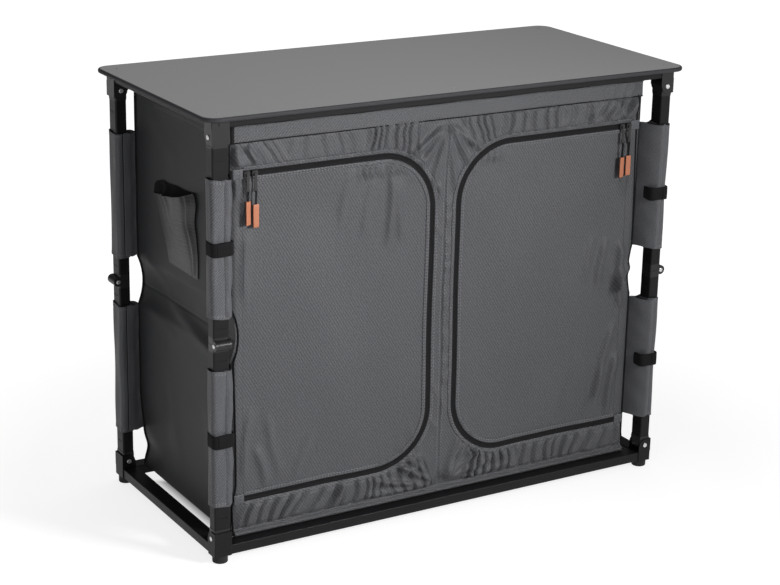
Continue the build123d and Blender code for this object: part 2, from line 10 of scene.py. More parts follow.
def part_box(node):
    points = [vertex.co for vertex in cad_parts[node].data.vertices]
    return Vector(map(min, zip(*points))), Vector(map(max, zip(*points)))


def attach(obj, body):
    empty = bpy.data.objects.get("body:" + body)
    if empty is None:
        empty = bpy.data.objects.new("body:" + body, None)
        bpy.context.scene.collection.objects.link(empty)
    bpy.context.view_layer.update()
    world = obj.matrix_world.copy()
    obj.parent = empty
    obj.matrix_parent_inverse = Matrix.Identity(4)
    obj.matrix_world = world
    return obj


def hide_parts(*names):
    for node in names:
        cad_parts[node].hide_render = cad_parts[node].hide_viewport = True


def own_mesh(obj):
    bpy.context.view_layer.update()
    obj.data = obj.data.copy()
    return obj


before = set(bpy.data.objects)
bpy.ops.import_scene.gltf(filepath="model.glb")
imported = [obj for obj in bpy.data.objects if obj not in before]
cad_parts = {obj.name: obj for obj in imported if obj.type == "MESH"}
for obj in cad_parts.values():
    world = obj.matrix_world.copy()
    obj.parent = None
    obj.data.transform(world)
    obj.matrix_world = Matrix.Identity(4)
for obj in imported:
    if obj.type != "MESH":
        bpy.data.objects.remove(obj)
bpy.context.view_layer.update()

bl_info = {
    "name": "Camping cupboard",
    "version": (1, 0, 0),
    "blender": (4, 5, 0),
    "location": "3D View > Sidebar > Cupboard",
    "description": "Dresses the folding camping cupboard in cloth, zips, steel and laminate",
    "category": "Object",
}

# The legs, each with the way in which it folds
legs = {
    "front_left": Vector((0, 1, 0)),
    "front_right": Vector((-1, 0, 0)),
    "back_right": Vector((0, -1, 0)),
    "back_left": Vector((1, 0, 0)),
}
sides = ((-1, "left"), (1, "right"))

# Places that follow from the solids, in metres
side_low, side_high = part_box("side_panel_left")
door_low, door_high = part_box("door_left")
floor_low, floor_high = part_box("box_floor")
box_bottom = side_low.z
box_top = side_high.z
front_y = door_low.y
panel_half = -side_low.x - 0.0012
door_hinge = -door_low.x
door_inner = -door_high.x
door_top = door_high.z
door_bottom = door_low.z
zip_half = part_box("zip_left")[1].z - door_top
knee_height = (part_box("lower_fittings_front_left")[1].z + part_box("upper_fittings_front_left")[0].z) / 2

# Heights of the seams, the round of the doors' corners, the box's bow beside the knees, a door's area
header_seam = 0.755
side_seam = 0.402
door_round = 0.108
knee_bow = 0.010
bow_reach = 0.047

# A sleeve's half sizes and corner in plan, and a flap's clearance from it
sleeve_half_depth = 0.0117
sleeve_half_width = 0.0171
sleeve_corner = 0.0062
flap_clear = 0.0024


class CupboardCloth(bpy.types.PropertyGroup):
    """Colours and sizes of the cloth."""

    grey: bpy.props.FloatVectorProperty(
        name="Grey cloth", description="Colour of the doors, the front and the sleeves",
        default=(0.0625, 0.064, 0.070), subtype="COLOR", min=0, max=1)
    dark: bpy.props.FloatVectorProperty(
        name="Dark cloth", description="Colour of the sides, the back and the inside",
        default=(0.040, 0.041, 0.044), subtype="COLOR", min=0, max=1)
    black: bpy.props.FloatVectorProperty(
        name="Black tape", description="Colour of the zips, the straps and the piping",
        default=(0.006, 0.006, 0.007), subtype="COLOR", min=0, max=1)
    thread: bpy.props.FloatVectorProperty(
        name="Thread", description="Colour of the stitching",
        default=(0.20, 0.203, 0.213), subtype="COLOR", min=0, max=1)
    twill_pitch: bpy.props.FloatProperty(
        name="Twill pitch", description="Distance between the slanting lines of the weave",
        default=0.0048, min=0.001, max=0.02, unit="LENGTH")
    gather_depth: bpy.props.FloatProperty(
        name="Gather depth", description="How far the gathers stand out of the front",
        default=0.0082, min=0, max=0.014, unit="LENGTH")
    stitch_pitch: bpy.props.FloatProperty(
        name="Stitch pitch", description="Distance from one stitch to the next",
        default=0.0060, min=0.001, max=0.02, unit="LENGTH")


class CupboardHard(bpy.types.PropertyGroup):
    """Colours of the hard pieces."""

    laminate: bpy.props.FloatVectorProperty(
        name="Worktop", description="Colour of the worktop's laminate",
        default=(0.240, 0.241, 0.243), subtype="COLOR", min=0, max=1)
    paint: bpy.props.FloatVectorProperty(
        name="Frame", description="Colour of the frame's powder coat",
        default=(0.009, 0.009, 0.010), subtype="COLOR", min=0, max=1)
    nylon: bpy.props.FloatVectorProperty(
        name="Brackets", description="Colour of the moulded brackets and fittings",
        default=(0.011, 0.011, 0.012), subtype="COLOR", min=0, max=1)
    rivets: bpy.props.FloatVectorProperty(
        name="Rivets", description="Colour of the rivets' metal",
        default=(0.66, 0.66, 0.67), subtype="COLOR", min=0, max=1)
    tabs: bpy.props.FloatVectorProperty(
        name="Pull tabs", description="Colour of the pull tabs",
        default=(0.46, 0.165, 0.085), subtype="COLOR", min=0, max=1)


class CupboardStage(bpy.types.PropertyGroup):
    """Strengths of the lights."""

    key_power: bpy.props.FloatProperty(
        name="Key light", description="Power of the large light at the front right",
        default=12, min=0, max=1000, subtype="POWER")
    fill_power: bpy.props.FloatProperty(
        name="Fill light", description="Power of the light at the front left",
        default=7.5, min=0, max=1000, subtype="POWER")
    top_power: bpy.props.FloatProperty(
        name="Top light", description="Power of the light overhead",
        default=21, min=0, max=1000, subtype="POWER")
    surround: bpy.props.FloatProperty(
        name="Surround", description="Strength of the even light from all sides",
        default=0.15, min=0, max=2)


# Lines and meshes

def line_lengths(places):
    """How far along a line each of its places lies."""
    return np.concatenate([[0], np.cumsum(np.linalg.norm(np.diff(places, axis=0), axis=1))])


def points_of(x, y, z):
    """Points from three coordinates, each a number or an array."""
    return np.stack(np.broadcast_arrays(x, y, z), axis=-1)


def grid_places(across, down):
    """Places of a grid: one value for each column and one for each row."""
    return np.broadcast_arrays(np.asarray(across)[None, :], np.asarray(down)[:, None])


def mesh_object(name, points, faces, flat_places=None, materials=(), smooth=True):
    """Makes an object of points and faces. The flat places of its points, in metres, are its UVs."""
    mesh = bpy.data.meshes.new(name)
    mesh.from_pydata([tuple(p) for p in points], [], [tuple(f) for f in faces])
    if flat_places is not None:
        corners = np.empty(len(mesh.loops), int)
        mesh.loops.foreach_get("vertex_index", corners)
        layer = mesh.uv_layers.new(name="flat")
        layer.data.foreach_set("uv", np.asarray(flat_places, float)[corners].ravel())
    if smooth:
        mesh.polygons.foreach_set("use_smooth", [True] * len(mesh.polygons))
    for material in materials:
        mesh.materials.append(bpy.data.materials[material])
    mesh.update()
    made = bpy.data.objects.new(name, mesh)
    bpy.context.scene.collection.objects.link(made)
    return made


def grid_faces(rows, columns, first=0, closed=False):
    """The faces of a grid of points, row by row."""
    faces = []
    for row in range(rows - 1):
        for column in range(columns if closed else columns - 1):
            after = (column + 1) % columns
            here = first + row * columns
            faces.append((here + column, here + after, here + columns + after, here + columns + column))
    return faces


def closed_faces(rows, corners):
    """The faces of a closed ring of corners drawn out over rows, with both ends capped."""
    caps = [tuple(reversed(range(corners))), tuple(range((rows - 1) * corners, rows * corners))]
    return grid_faces(rows, corners, closed=True) + caps


def sheet_object(name, patches, flat_axes, materials):
    """Joins grids of points into one sheet. The flat axes are those of the sheet's UVs."""
    points, faces = [], []
    for patch in patches:
        faces += grid_faces(patch.shape[0], patch.shape[1], first=len(points))
        points += list(patch.reshape(-1, 3))
    points = np.array(points)
    made = mesh_object(name, points, faces, points[:, flat_axes], materials)
    work = bmesh.new()
    work.from_mesh(made.data)
    bmesh.ops.remove_doubles(work, verts=work.verts, dist=1e-5)
    bmesh.ops.recalc_face_normals(work, faces=work.faces)
    work.to_mesh(made.data)
    work.free()
    return made


def swept_strip(name, places, outwards, profile, materials):
    """Sweeps an open profile along a line on the front. The profile gives how far across and how far out."""
    lengths = line_lengths(places)
    reach = np.array([across for across, _ in profile])
    height = np.array([out for _, out in profile])
    points = places[:, None, :] + outwards[:, None, :] * reach[None, :, None]
    points[:, :, 1] = front_y - front_relief(points[:, :, 0], points[:, :, 2]) - height[None, :]
    flat = np.stack(np.broadcast_arrays(reach[None, :], lengths[:, None]), axis=-1).reshape(-1, 2)
    return mesh_object(name, points.reshape(-1, 3), grid_faces(len(places), len(profile)), flat, materials)


def tube(name, places, radius, materials, corners=8):
    """A round cord along a line of places, closed at both ends."""
    places = np.asarray(places, float)
    points, flat = [], []
    along = 0.0
    side = None
    for number, place in enumerate(places):
        before, after = places[max(number - 1, 0)], places[min(number + 1, len(places) - 1)]
        ahead = Vector(after - before).normalized()
        if side is None:
            side = ahead.orthogonal().normalized()
        side = (side - ahead * side.dot(ahead)).normalized()
        up = ahead.cross(side)
        if number:
            along += float(np.linalg.norm(place - places[number - 1]))
        for step in range(corners):
            turn = 2 * math.pi * step / corners
            points.append(Vector(place) + side * (radius * math.cos(turn)) + up * (radius * math.sin(turn)))
            flat.append((radius * turn, along))
    return mesh_object(name, points, closed_faces(len(places), corners), flat, materials)


def join_pieces(name, pieces):
    """Joins several new pieces into one object."""
    work = bmesh.new()
    materials = []
    for piece in pieces:
        first = len(work.faces)
        numbers = []
        for material in piece.data.materials:
            if material not in materials:
                materials.append(material)
            numbers.append(materials.index(material))
        work.from_mesh(piece.data)
        work.faces.ensure_lookup_table()
        for face in work.faces[first:]:
            face.material_index = numbers[face.material_index]
    mesh = bpy.data.meshes.new(name)
    work.to_mesh(mesh)
    work.free()
    for material in materials:
        mesh.materials.append(material)
    for piece in pieces:
        old = piece.data
        bpy.data.objects.remove(piece)
        bpy.data.meshes.remove(old)
    made = bpy.data.objects.new(name, mesh)
    bpy.context.scene.collection.objects.link(made)
    return made


def stitches(name, rows):
    """Makes rows of stitches. A row is its places and the directions that stand out of the cloth."""
    pitch = bpy.context.scene.cupboard_cloth.stitch_pitch
    thickness, width, sunk = 0.0007, 0.0012, 0.0002
    # Six points round a stitch, then the two ends of its crown
    stitch_faces = ((0, 1, 6), (1, 2, 7, 6), (2, 3, 7), (3, 4, 7), (4, 5, 6, 7), (5, 0, 6))
    points, faces = [], []
    for places, outs in rows:
        places, outs = np.asarray(places, float), np.asarray(outs, float)
        lengths = line_lengths(places)
        for number in range(int(lengths[-1] / pitch)):
            ends = []
            for share in (0.16, 0.84):
                along = (number + share) * pitch
                ends.append(np.array([np.interp(along, lengths, places[:, axis]) for axis in range(3)]))
            start, end = ends
            nearest = min(int(np.searchsorted(lengths, (number + 0.5) * pitch)), len(outs) - 1)
            out = outs[nearest]
            size = np.linalg.norm(end - start)
            if size < pitch * 0.2:
                continue
            across = np.cross((end - start) / size, out)
            across /= max(np.linalg.norm(across), 1e-9)
            aside = across * width / 2
            near, far = start * 0.7 + end * 0.3, start * 0.3 + end * 0.7
            first = len(points)
            points += [start - out * sunk, near + aside, far + aside, end - out * sunk,
                       far - aside, near - aside, near + out * thickness, far + out * thickness]
            faces += [tuple(first + corner for corner in face) for face in stitch_faces]
    return mesh_object(name, points, faces, None, ["sewing_thread"])


def smooth_step(value):
    """A smooth rise from 0 to 1."""
    value = np.clip(value, 0, 1)
    return value * value * (3 - 2 * value)


def one_fold(x, z, start, end, height, width, bend=0.0):
    """Height of one fold from start to end, faded at both ends and steeper on one side."""
    run_x, run_z = end[0] - start[0], end[1] - start[1]
    length = math.hypot(run_x, run_z)
    along = ((x - start[0]) * run_x + (z - start[1]) * run_z) / length ** 2
    off = ((x - start[0]) * run_z - (z - start[1]) * run_x) / length
    off = off - bend * length * 4 * along * (1 - along)
    fade = smooth_step(along / 0.22) * smooth_step((1 - along) / 0.3)
    steep = np.where(off > 0, width * 0.80, width * 1.10)
    return height * fade * np.exp(-(off / steep) ** 2)


def bow(z):
    """How far the box's corners are drawn in at the height of the knees."""
    off = np.clip(np.abs(z - knee_height) / bow_reach, 0, 1)
    return knee_bow * (1 - off ** 2)


def front_edge(side, z):
    """Distance of the front's edge from the middle. It is drawn in below the sleeves."""
    z = np.asarray(z)
    drawn_in = 0.002 if side < 0 else 0.003
    low, high = 0.048, 0.124
    return panel_half - bow(z) - drawn_in * smooth_step((high - z) / 0.02) * smooth_step((z - low) / 0.02)


def door_reach(z):
    """Distance of a door's free edge from the middle of the front, at each height."""
    off = np.maximum(z - (door_top - door_round), (door_bottom + door_round) - z)
    off = np.clip(off, 0, door_round)
    return door_inner + door_round - np.sqrt(door_round ** 2 - off ** 2)


def zip_distance(x, z):
    """Distance from the middle line of the nearer zip."""
    x = np.abs(x)
    half_length = (door_top - door_bottom) / 2
    across = np.maximum(door_inner + door_round - x, 0)
    up = np.abs(z - (door_top + door_bottom) / 2) - (half_length - door_round)
    corner = np.hypot(across, np.maximum(up, 0)) - door_round
    straight = np.maximum(door_inner - x, up - door_round)
    return np.abs(np.where((across > 0) & (up > 0), corner, straight))


def gather_row(x, z, first, last, pitch, top, bottom, lean, height, seed):
    """A row of broad gathers with narrow grooves between them, leaning to one side."""
    fade = 0.010
    chance = random.Random(seed)
    edges, crests = [first], []
    while edges[-1] < last:
        edges.append(edges[-1] + pitch * chance.uniform(0.65, 1.4))
        crests.append(height * chance.uniform(0.6, 1.1))
    edges, crests = np.array(edges), np.array(crests)
    off = (z - (top + bottom) / 2) / (top - bottom)
    wander = 0.0034 * np.sin(z * 60 + x * 25 + seed) + 0.0012 * np.sin(z * 150 - x * 40)
    spot = x - lean * off + wander
    number = np.clip(np.searchsorted(edges, spot) - 1, 0, len(crests) - 1)
    share = np.clip((spot - edges[number]) / (edges[number + 1] - edges[number]), 0, 1)
    crest = crests[number] * smooth_step(share / 0.36) * smooth_step((1 - share) / 0.20)
    crest = crest * (1 - 0.25 * (share - 0.6) ** 2)
    ends = smooth_step((spot - first) / 0.02) * smooth_step((edges[-1] - spot) / 0.02)
    return crest * ends * smooth_step((top - z) / fade) * smooth_step((z - bottom) / fade)


def front_folds():
    """The single folds of the front, as start, end, height, width and bend."""
    chance = random.Random(4)
    deep = bpy.context.scene.cupboard_cloth.gather_depth
    folds = []
    # Folds that fan out from the two ends of the middle seam: place, height and size of each one's far end
    lower_fan = ((-0.118, 0.128, 1.1), (-0.095, 0.155, 0.7), (-0.072, 0.190, 0.5), (-0.150, 0.086, 0.9),
                 (-0.180, 0.060, 0.7), (0.058, 0.185, 0.7), (0.080, 0.150, 1.1), (0.100, 0.120, 0.9),
                 (0.130, 0.092, 0.8), (0.170, 0.066, 0.6))
    upper_fan = ((-0.125, 0.672, 1.0), (-0.085, 0.645, 1.0), (-0.050, 0.592, 0.8), (-0.030, 0.560, 0.4),
                 (0.036, 0.585, 0.6), (0.070, 0.640, 1.0), (0.105, 0.672, 0.9))
    for start_x, start_z, width, bend, fan in (
            (0.006, 0.056, 0.0062, 0.03, lower_fan), (0.004, 0.748, 0.0070, 0.04, upper_fan)):
        for end_x, end_z, size in fan:
            side = 1 if end_x > 0 else -1
            folds.append(((side * start_x, start_z), (end_x, end_z), deep * size, width, side * bend))
    # Small slanting pulls between the zips
    place = 0.17
    while place < 0.64:
        side = chance.choice((-1, 1))
        size = chance.uniform(0.3, 0.6)
        folds.append(((side * 0.001, place - 0.014), (side * 0.027, place + 0.016), deep * size, 0.0055, 0))
        place += chance.uniform(0.016, 0.034)
    # Streaks in the doors' corners and along their hinged edges: place, low, high, size, lean, bend
    for x, low, high, size, lean, bend in (
            (-0.160, 0.545, 0.672, 0.32, 0.012, 0.04), (-0.120, 0.520, 0.680, 0.75, 0.004, -0.03),
            (-0.095, 0.530, 0.660, 0.60, -0.006, 0.03), (-0.205, 0.580, 0.690, 0.35, 0.014, 0.05),
            (-0.398, 0.120, 0.280, 0.55, 0.010, 0.06), (-0.378, 0.108, 0.200, 0.70, -0.012, -0.06),
            (-0.345, 0.120, 0.260, 0.40, -0.016, 0.05), (-0.403, 0.460, 0.600, 0.50, 0.003, 0.03),
            (-0.403, 0.620, 0.700, 0.90, 0.006, 0.02), (-0.290, 0.110, 0.210, 0.35, 0.020, 0.03),
            (0.398, 0.108, 0.250, 1.30, 0.012, 0.05), (0.376, 0.120, 0.320, 1.00, 0.026, 0.04),
            (0.350, 0.112, 0.230, 0.80, 0.026, -0.04), (0.404, 0.330, 0.420, 1.20, -0.014, 0.08),
            (0.390, 0.350, 0.480, 1.20, 0.010, -0.06), (0.360, 0.370, 0.490, 0.80, 0.012, 0.05),
            (0.330, 0.390, 0.500, 0.50, 0.012, 0.05), (0.300, 0.130, 0.260, 0.40, 0.020, 0.04),
            (0.402, 0.560, 0.690, 0.80, 0.002, 0.03), (0.250, 0.110, 0.180, 0.40, 0.020, 0.0)):
        folds.append(((x + lean, high), (x - lean, low), deep * size, 0.0085, bend))
    # Bulges over the outer ends of the zips' upper runs, and beside the right door's hinge
    for start, end, size, width, bend in (
            ((-0.430, 0.748), (-0.405, 0.706), 1.2, 0.010, 0.10),
            ((-0.402, 0.752), (-0.381, 0.712), 0.8, 0.007, 0.05),
            ((-0.421, 0.706), (-0.428, 0.650), 1.1, 0.008, 0.05),
            ((0.345, 0.716), (0.392, 0.754), 1.2, 0.008, 0.05),
            ((0.385, 0.714), (0.424, 0.752), 1.3, 0.008, 0.05),
            ((0.428, 0.428), (0.382, 0.370), 1.4, 0.009, 0.06)):
        folds.append((start, end, deep * size, width, bend))
    return folds


def front_gathers(x, z):
    """The gathers above and below the doors."""
    deep = bpy.context.scene.cupboard_cloth.gather_depth
    seam, upper, lower, hem = header_seam + 0.004, door_top + 0.001, door_bottom - 0.001, box_bottom + 0.010
    # First and last place, pitch, top, bottom, lean, height and the seed of its own chances
    rows = (
        (-0.425, -0.330, 0.0240, seam, upper, -0.034, 0.42, 3),
        (-0.330, -0.190, 0.0300, seam, upper, -0.004, 0.30, 5),
        (-0.180, -0.050, 0.0170, seam, upper - 0.040, 0.022, 0.75, 9),
        (0.035, 0.115, 0.0180, seam, upper - 0.040, -0.022, 0.75, 12),
        (0.110, 0.240, 0.0260, seam, upper - 0.006, 0.010, 0.70, 14),
        (0.240, 0.315, 0.0280, seam, upper, 0.012, 0.65, 17),
        (0.310, 0.432, 0.0300, seam, upper, 0.042, 0.70, 21),
        (-0.428, -0.225, 0.0320, lower, hem, 0.034, 1.15, 31),
        (-0.230, -0.130, 0.0200, lower, hem, 0.008, 0.80, 36),
        (-0.130, -0.030, 0.0180, lower + 0.020, hem, -0.030, 1.00, 38),
        (0.050, 0.160, 0.0165, lower + 0.012, hem, 0.004, 1.20, 41),
        (0.160, 0.428, 0.0290, lower, hem, 0.020, 1.10, 47))
    total = np.zeros_like(x)
    for first, last, pitch, top, bottom, lean, height, seed in rows:
        total = total + gather_row(x, z, first, last, pitch, top, bottom, lean, deep * height, seed)
    return total


def front_sway(x, z):
    """The slow waves of the front. They die out along the zips' upper runs and where the pullers hang."""
    wave = (0.0022 * np.sin(13.1 * x + 3.2 * z + 0.4) * np.sin(8.3 * z - 2.1 * x + 1.1)
            + 0.0014 * np.sin(24.0 * x - 7.0 * z) * np.sin(15.0 * z + 0.6)
            + 0.0006 * np.sin(47.0 * x + 13.0 * z + 2.0))
    still = smooth_step(np.abs(z - door_top) / 0.09)
    edge = smooth_step((panel_half - np.abs(x)) / 0.05) * smooth_step((z - box_bottom) / 0.05)
    tab_height = 0.655
    for puller_x in (0.395, 0.155):
        edge = edge * (1 - np.exp(-((np.abs(x) - puller_x) / 0.03) ** 2 - ((z - tab_height) / 0.06) ** 2))
    return wave * still * edge


def front_relief(x, z):
    """How far the front's cloth stands out of its plane: slow waves, gathers and the middle seam."""
    from_middle = np.abs(x)
    relief = front_gathers(x, z)
    for fold in front_folds():
        relief = relief + one_fold(x, z, *fold)
    off_zip = smooth_step((zip_distance(x, z) - 0.004) / 0.014)
    gathers = relief * off_zip * smooth_step((panel_half - 0.002 - from_middle) / 0.012)
    seam_fade = smooth_step((z - 0.045) / 0.02) * smooth_step((0.752 - z) / 0.02)
    groove = -0.0012 * np.exp(-(x / 0.0016) ** 2)
    banks = 0.0006 * np.exp(-((from_middle - 0.0045) / 0.003) ** 2)
    seam = groove * seam_fade + banks * seam_fade
    # A short dart at each end of the middle seam
    dart = 0.0
    for middle in (0.062, 0.733):
        dart = dart - 0.0022 * np.exp(-(x / 0.0022) ** 2) * np.exp(-((z - middle) / 0.012) ** 2)
    door_puff = 0.0
    for side in (-1, 1):
        middle_x = side * (door_hinge + door_inner) / 2
        puff = 0.0016 * np.exp(-((x - middle_x) / 0.13) ** 2)
        door_puff = door_puff + puff * np.exp(-((z - 0.38) / 0.24) ** 2)
    # The edges turn back beside the sleeves, and the hem stands out over the base rail.
    turn_back = -0.0045 * smooth_step((from_middle - 0.4225) / 0.012) * smooth_step((z - 0.05) / 0.03)
    tuck = 0.0085 * smooth_step((box_bottom + 0.0120 - z) / 0.008)
    tuck = tuck * smooth_step((panel_half + 0.003 - from_middle) / 0.008)
    return front_sway(x, z) + gathers + seam + dart + door_puff + turn_back + tuck


def front_points(x, z):
    """Points of the front's cloth at these places."""
    x, z = np.broadcast_arrays(np.asarray(x, float), np.asarray(z, float))
    return points_of(x, front_y - front_relief(x, z), z)


def door_rows():
    """Heights of the rows of points beside the doors, close together round their corners."""
    turns = np.radians(np.linspace(0, 90, 25))
    low = door_bottom + door_round - door_round * np.cos(turns)
    middle = np.linspace(door_bottom + door_round, door_top - door_round, 56)[1:-1]
    high = door_top - door_round + door_round * np.sin(turns)
    return np.concatenate([low, middle, high])


def zip_line(side):
    """The line of a zip from the top hinge corner round to the bottom one, and its outward directions."""
    step = 0.004
    middle_x = door_inner + door_round
    runs = np.arange(door_hinge, middle_x, -step)
    places = [(x, door_top) for x in runs]
    outs = [(0, 1)] * len(runs)

    def round_corner(first_turn, middle_z):
        for turn in np.radians(np.linspace(first_turn, first_turn + 90, int(door_round * 1.57 / step))):
            places.append((middle_x - door_round * math.sin(turn), middle_z + door_round * math.cos(turn)))
            outs.append((-math.sin(turn), math.cos(turn)))

    round_corner(0, door_top - door_round)
    for z in np.arange(door_top - door_round - step, door_bottom + door_round, -step):
        places.append((door_inner, z))
        outs.append((-1, 0))
    round_corner(90, door_bottom + door_round)
    places += [(x, door_bottom) for x in runs[::-1]]
    outs += [(0, -1)] * len(runs)
    places, outs = np.array(places), np.array(outs)
    x, z = places[:, 0] * side, places[:, 1]
    return points_of(x, front_y - front_relief(x, z), z), points_of(outs[:, 0] * side, 0.0, outs[:, 1])


def hang(piece, body="top"):
    """Lets a piece of the box ride on a body, with a mesh of its own."""
    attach(piece, body)
    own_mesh(piece)


# Materials

def add_node(tree, kind, place=(0, 0), values=None, **settings):
    """Adds a node with its settings, and with values on its input sockets."""
    made = tree.nodes.new(kind)
    made.location = place
    for name, value in settings.items():
        setattr(made, name, value)
    set_sockets(made, values or {})
    return made


def set_sockets(node, values):
    """Sets a node's input sockets by their names."""
    for socket, value in values.items():
        node.inputs[socket].default_value = value


def new_group(name, inputs, outputs):
    """Makes a shader node group with named inputs and outputs."""
    tree = bpy.data.node_groups.new(name, "ShaderNodeTree")
    for socket, kind, value in inputs:
        made = tree.interface.new_socket(name=socket, in_out="INPUT", socket_type=kind)
        made.default_value = value
    for socket, kind in outputs:
        tree.interface.new_socket(name=socket, in_out="OUTPUT", socket_type=kind)
    return tree, add_node(tree, "NodeGroupInput", (-900, 0)), add_node(tree, "NodeGroupOutput", (900, 0))


def math_node(tree, operation, first, second=None, place=(0, 0)):
    """Adds a Math node whose inputs are sockets or numbers."""
    made = add_node(tree, "ShaderNodeMath", place, operation=operation)
    for slot, value in enumerate((first, second)):
        if value is None:
            continue
        if isinstance(value, (int, float)):
            made.inputs[slot].default_value = value
        else:
            tree.links.new(value, made.inputs[slot])
    return made.outputs[0]


def make_weave_group():
    """Slanting twill lines over fine crossing threads, from the cloth's flat places."""
    tree, enter, leave = new_group(
        "twill_weave",
        [("Pitch", "NodeSocketFloat", 0.0046), ("Slant", "NodeSocketFloat", 0.6),
         ("Contrast", "NodeSocketFloat", 0.1)],
        [("Shade", "NodeSocketFloat"), ("Height", "NodeSocketFloat")])
    # Radians per metre of the fine crossing threads
    thread_rate = 5200
    flat = add_node(tree, "ShaderNodeTexCoord", (-900, 300))
    turned = add_node(tree, "ShaderNodeVectorRotate", (-700, 300), rotation_type="Z_AXIS")
    tree.links.new(flat.outputs["UV"], turned.inputs["Vector"])
    tree.links.new(enter.outputs["Slant"], turned.inputs["Angle"])
    parts = add_node(tree, "ShaderNodeSeparateXYZ", (-500, 300))
    tree.links.new(turned.outputs["Vector"], parts.inputs[0])
    wander = add_node(tree, "ShaderNodeTexNoise", (-700, 0), {"Scale": 210, "Detail": 2})
    tree.links.new(flat.outputs["UV"], wander.inputs["Vector"])
    lines = math_node(tree, "DIVIDE", parts.outputs["X"], enter.outputs["Pitch"], (-300, 300))
    offset = math_node(tree, "MULTIPLY", wander.outputs["Fac"], 0.9, (-500, 0))
    lines = math_node(tree, "ADD", lines, offset, (-150, 300))
    turns = math_node(tree, "MULTIPLY", lines, 2 * math.pi, (0, 300))
    ridge = math_node(tree, "SINE", turns, None, (150, 300))
    threads = add_node(tree, "ShaderNodeTexNoise", (-700, -300), {"Scale": 340, "Detail": 3})
    tree.links.new(flat.outputs["UV"], threads.inputs["Vector"])
    crossed = add_node(tree, "ShaderNodeSeparateXYZ", (-500, -500))
    tree.links.new(flat.outputs["UV"], crossed.inputs[0])
    waves = []
    for axis, level in (("X", -500), ("Y", -650)):
        fine = math_node(tree, "MULTIPLY", crossed.outputs[axis], thread_rate, (-300, level))
        waves.append(math_node(tree, "SINE", fine, None, (-150, level)))
    mesh = math_node(tree, "MULTIPLY", *waves, (0, -550))
    speckle = math_node(tree, "SUBTRACT", threads.outputs["Fac"], 0.5, (0, -200))
    speckle = math_node(tree, "MULTIPLY", speckle, 5.0, (150, -200))
    total = math_node(tree, "ADD", ridge, speckle, (300, 100))
    half_mesh = math_node(tree, "MULTIPLY", mesh, 0.5, (150, -550))
    total = math_node(tree, "ADD", total, half_mesh, (450, 100))
    shade = math_node(tree, "MULTIPLY", total, enter.outputs["Contrast"], (600, 100))
    shade = math_node(tree, "ADD", shade, 1.0, (750, 100))
    tree.links.new(shade, leave.inputs["Shade"])
    tree.links.new(total, leave.inputs["Height"])


def make_mottle_group():
    """Slow changes of shade over a surface."""
    tree, enter, leave = new_group(
        "slow_mottle",
        [("Colour", "NodeSocketColor", (0.5, 0.5, 0.5, 1)), ("Scale", "NodeSocketFloat", 8.0),
         ("Amount", "NodeSocketFloat", 0.1), ("Shade", "NodeSocketFloat", 1.0)],
        [("Colour", "NodeSocketColor")])
    place = add_node(tree, "ShaderNodeTexCoord", (-900, 200))
    clouds = add_node(tree, "ShaderNodeTexNoise", (-650, 200), {"Detail": 5, "Roughness": 0.6})
    tree.links.new(place.outputs["Object"], clouds.inputs["Vector"])
    tree.links.new(enter.outputs["Scale"], clouds.inputs["Scale"])
    swing = math_node(tree, "SUBTRACT", clouds.outputs["Fac"], 0.5, (-400, 200))
    swing = math_node(tree, "MULTIPLY", swing, 2.0, (-250, 200))
    swing = math_node(tree, "MULTIPLY", swing, enter.outputs["Amount"], (-100, 200))
    factor = math_node(tree, "ADD", swing, 1.0, (50, 200))
    factor = math_node(tree, "MULTIPLY", factor, enter.outputs["Shade"], (200, 200))
    scaled = add_node(tree, "ShaderNodeVectorMath", (400, 100), operation="SCALE")
    tree.links.new(enter.outputs["Colour"], scaled.inputs[0])
    tree.links.new(factor, scaled.inputs["Scale"])
    tree.links.new(scaled.outputs["Vector"], leave.inputs["Colour"])


def make_grain_group():
    """Fine grain of paint, nylon, laminate and rubber."""
    tree, enter, leave = new_group(
        "fine_grain",
        [("Scale", "NodeSocketFloat", 900.0), ("Roughness", "NodeSocketFloat", 0.5),
         ("Spread", "NodeSocketFloat", 0.1)],
        [("Height", "NodeSocketFloat"), ("Roughness", "NodeSocketFloat")])
    place = add_node(tree, "ShaderNodeTexCoord", (-900, 200))
    grain = add_node(tree, "ShaderNodeTexNoise", (-650, 200), {"Detail": 4})
    tree.links.new(place.outputs["Object"], grain.inputs["Vector"])
    tree.links.new(enter.outputs["Scale"], grain.inputs["Scale"])
    smear = add_node(tree, "ShaderNodeTexNoise", (-650, -100), {"Scale": 23, "Detail": 6})
    tree.links.new(place.outputs["Object"], smear.inputs["Vector"])
    swing = math_node(tree, "SUBTRACT", smear.outputs["Fac"], 0.5, (-400, -100))
    swing = math_node(tree, "MULTIPLY", swing, 2.0, (-250, -100))
    swing = math_node(tree, "MULTIPLY", swing, enter.outputs["Spread"], (-100, -100))
    swing = math_node(tree, "ADD", swing, enter.outputs["Roughness"], (50, -100))
    tree.links.new(swing, leave.inputs["Roughness"])
    tree.links.new(grain.outputs["Fac"], leave.inputs["Height"])


def start_material(name):
    """A new material and its main shader."""
    material = bpy.data.materials.new(name)
    material.use_nodes = True
    return material.node_tree, material.node_tree.nodes["Principled BSDF"]


def place_group(tree, name, place, **values):
    """Places a node group in a material with its own values."""
    return add_node(tree, "ShaderNodeGroup", place, values, node_tree=bpy.data.node_groups[name])


def bump(tree, height, shader, strength, distance):
    """Feeds a height to the shader's normal."""
    made = add_node(tree, "ShaderNodeBump", (-250, -300), {"Strength": strength, "Distance": distance})
    tree.links.new(height, made.inputs["Height"])
    tree.links.new(made.outputs["Normal"], shader.inputs["Normal"])


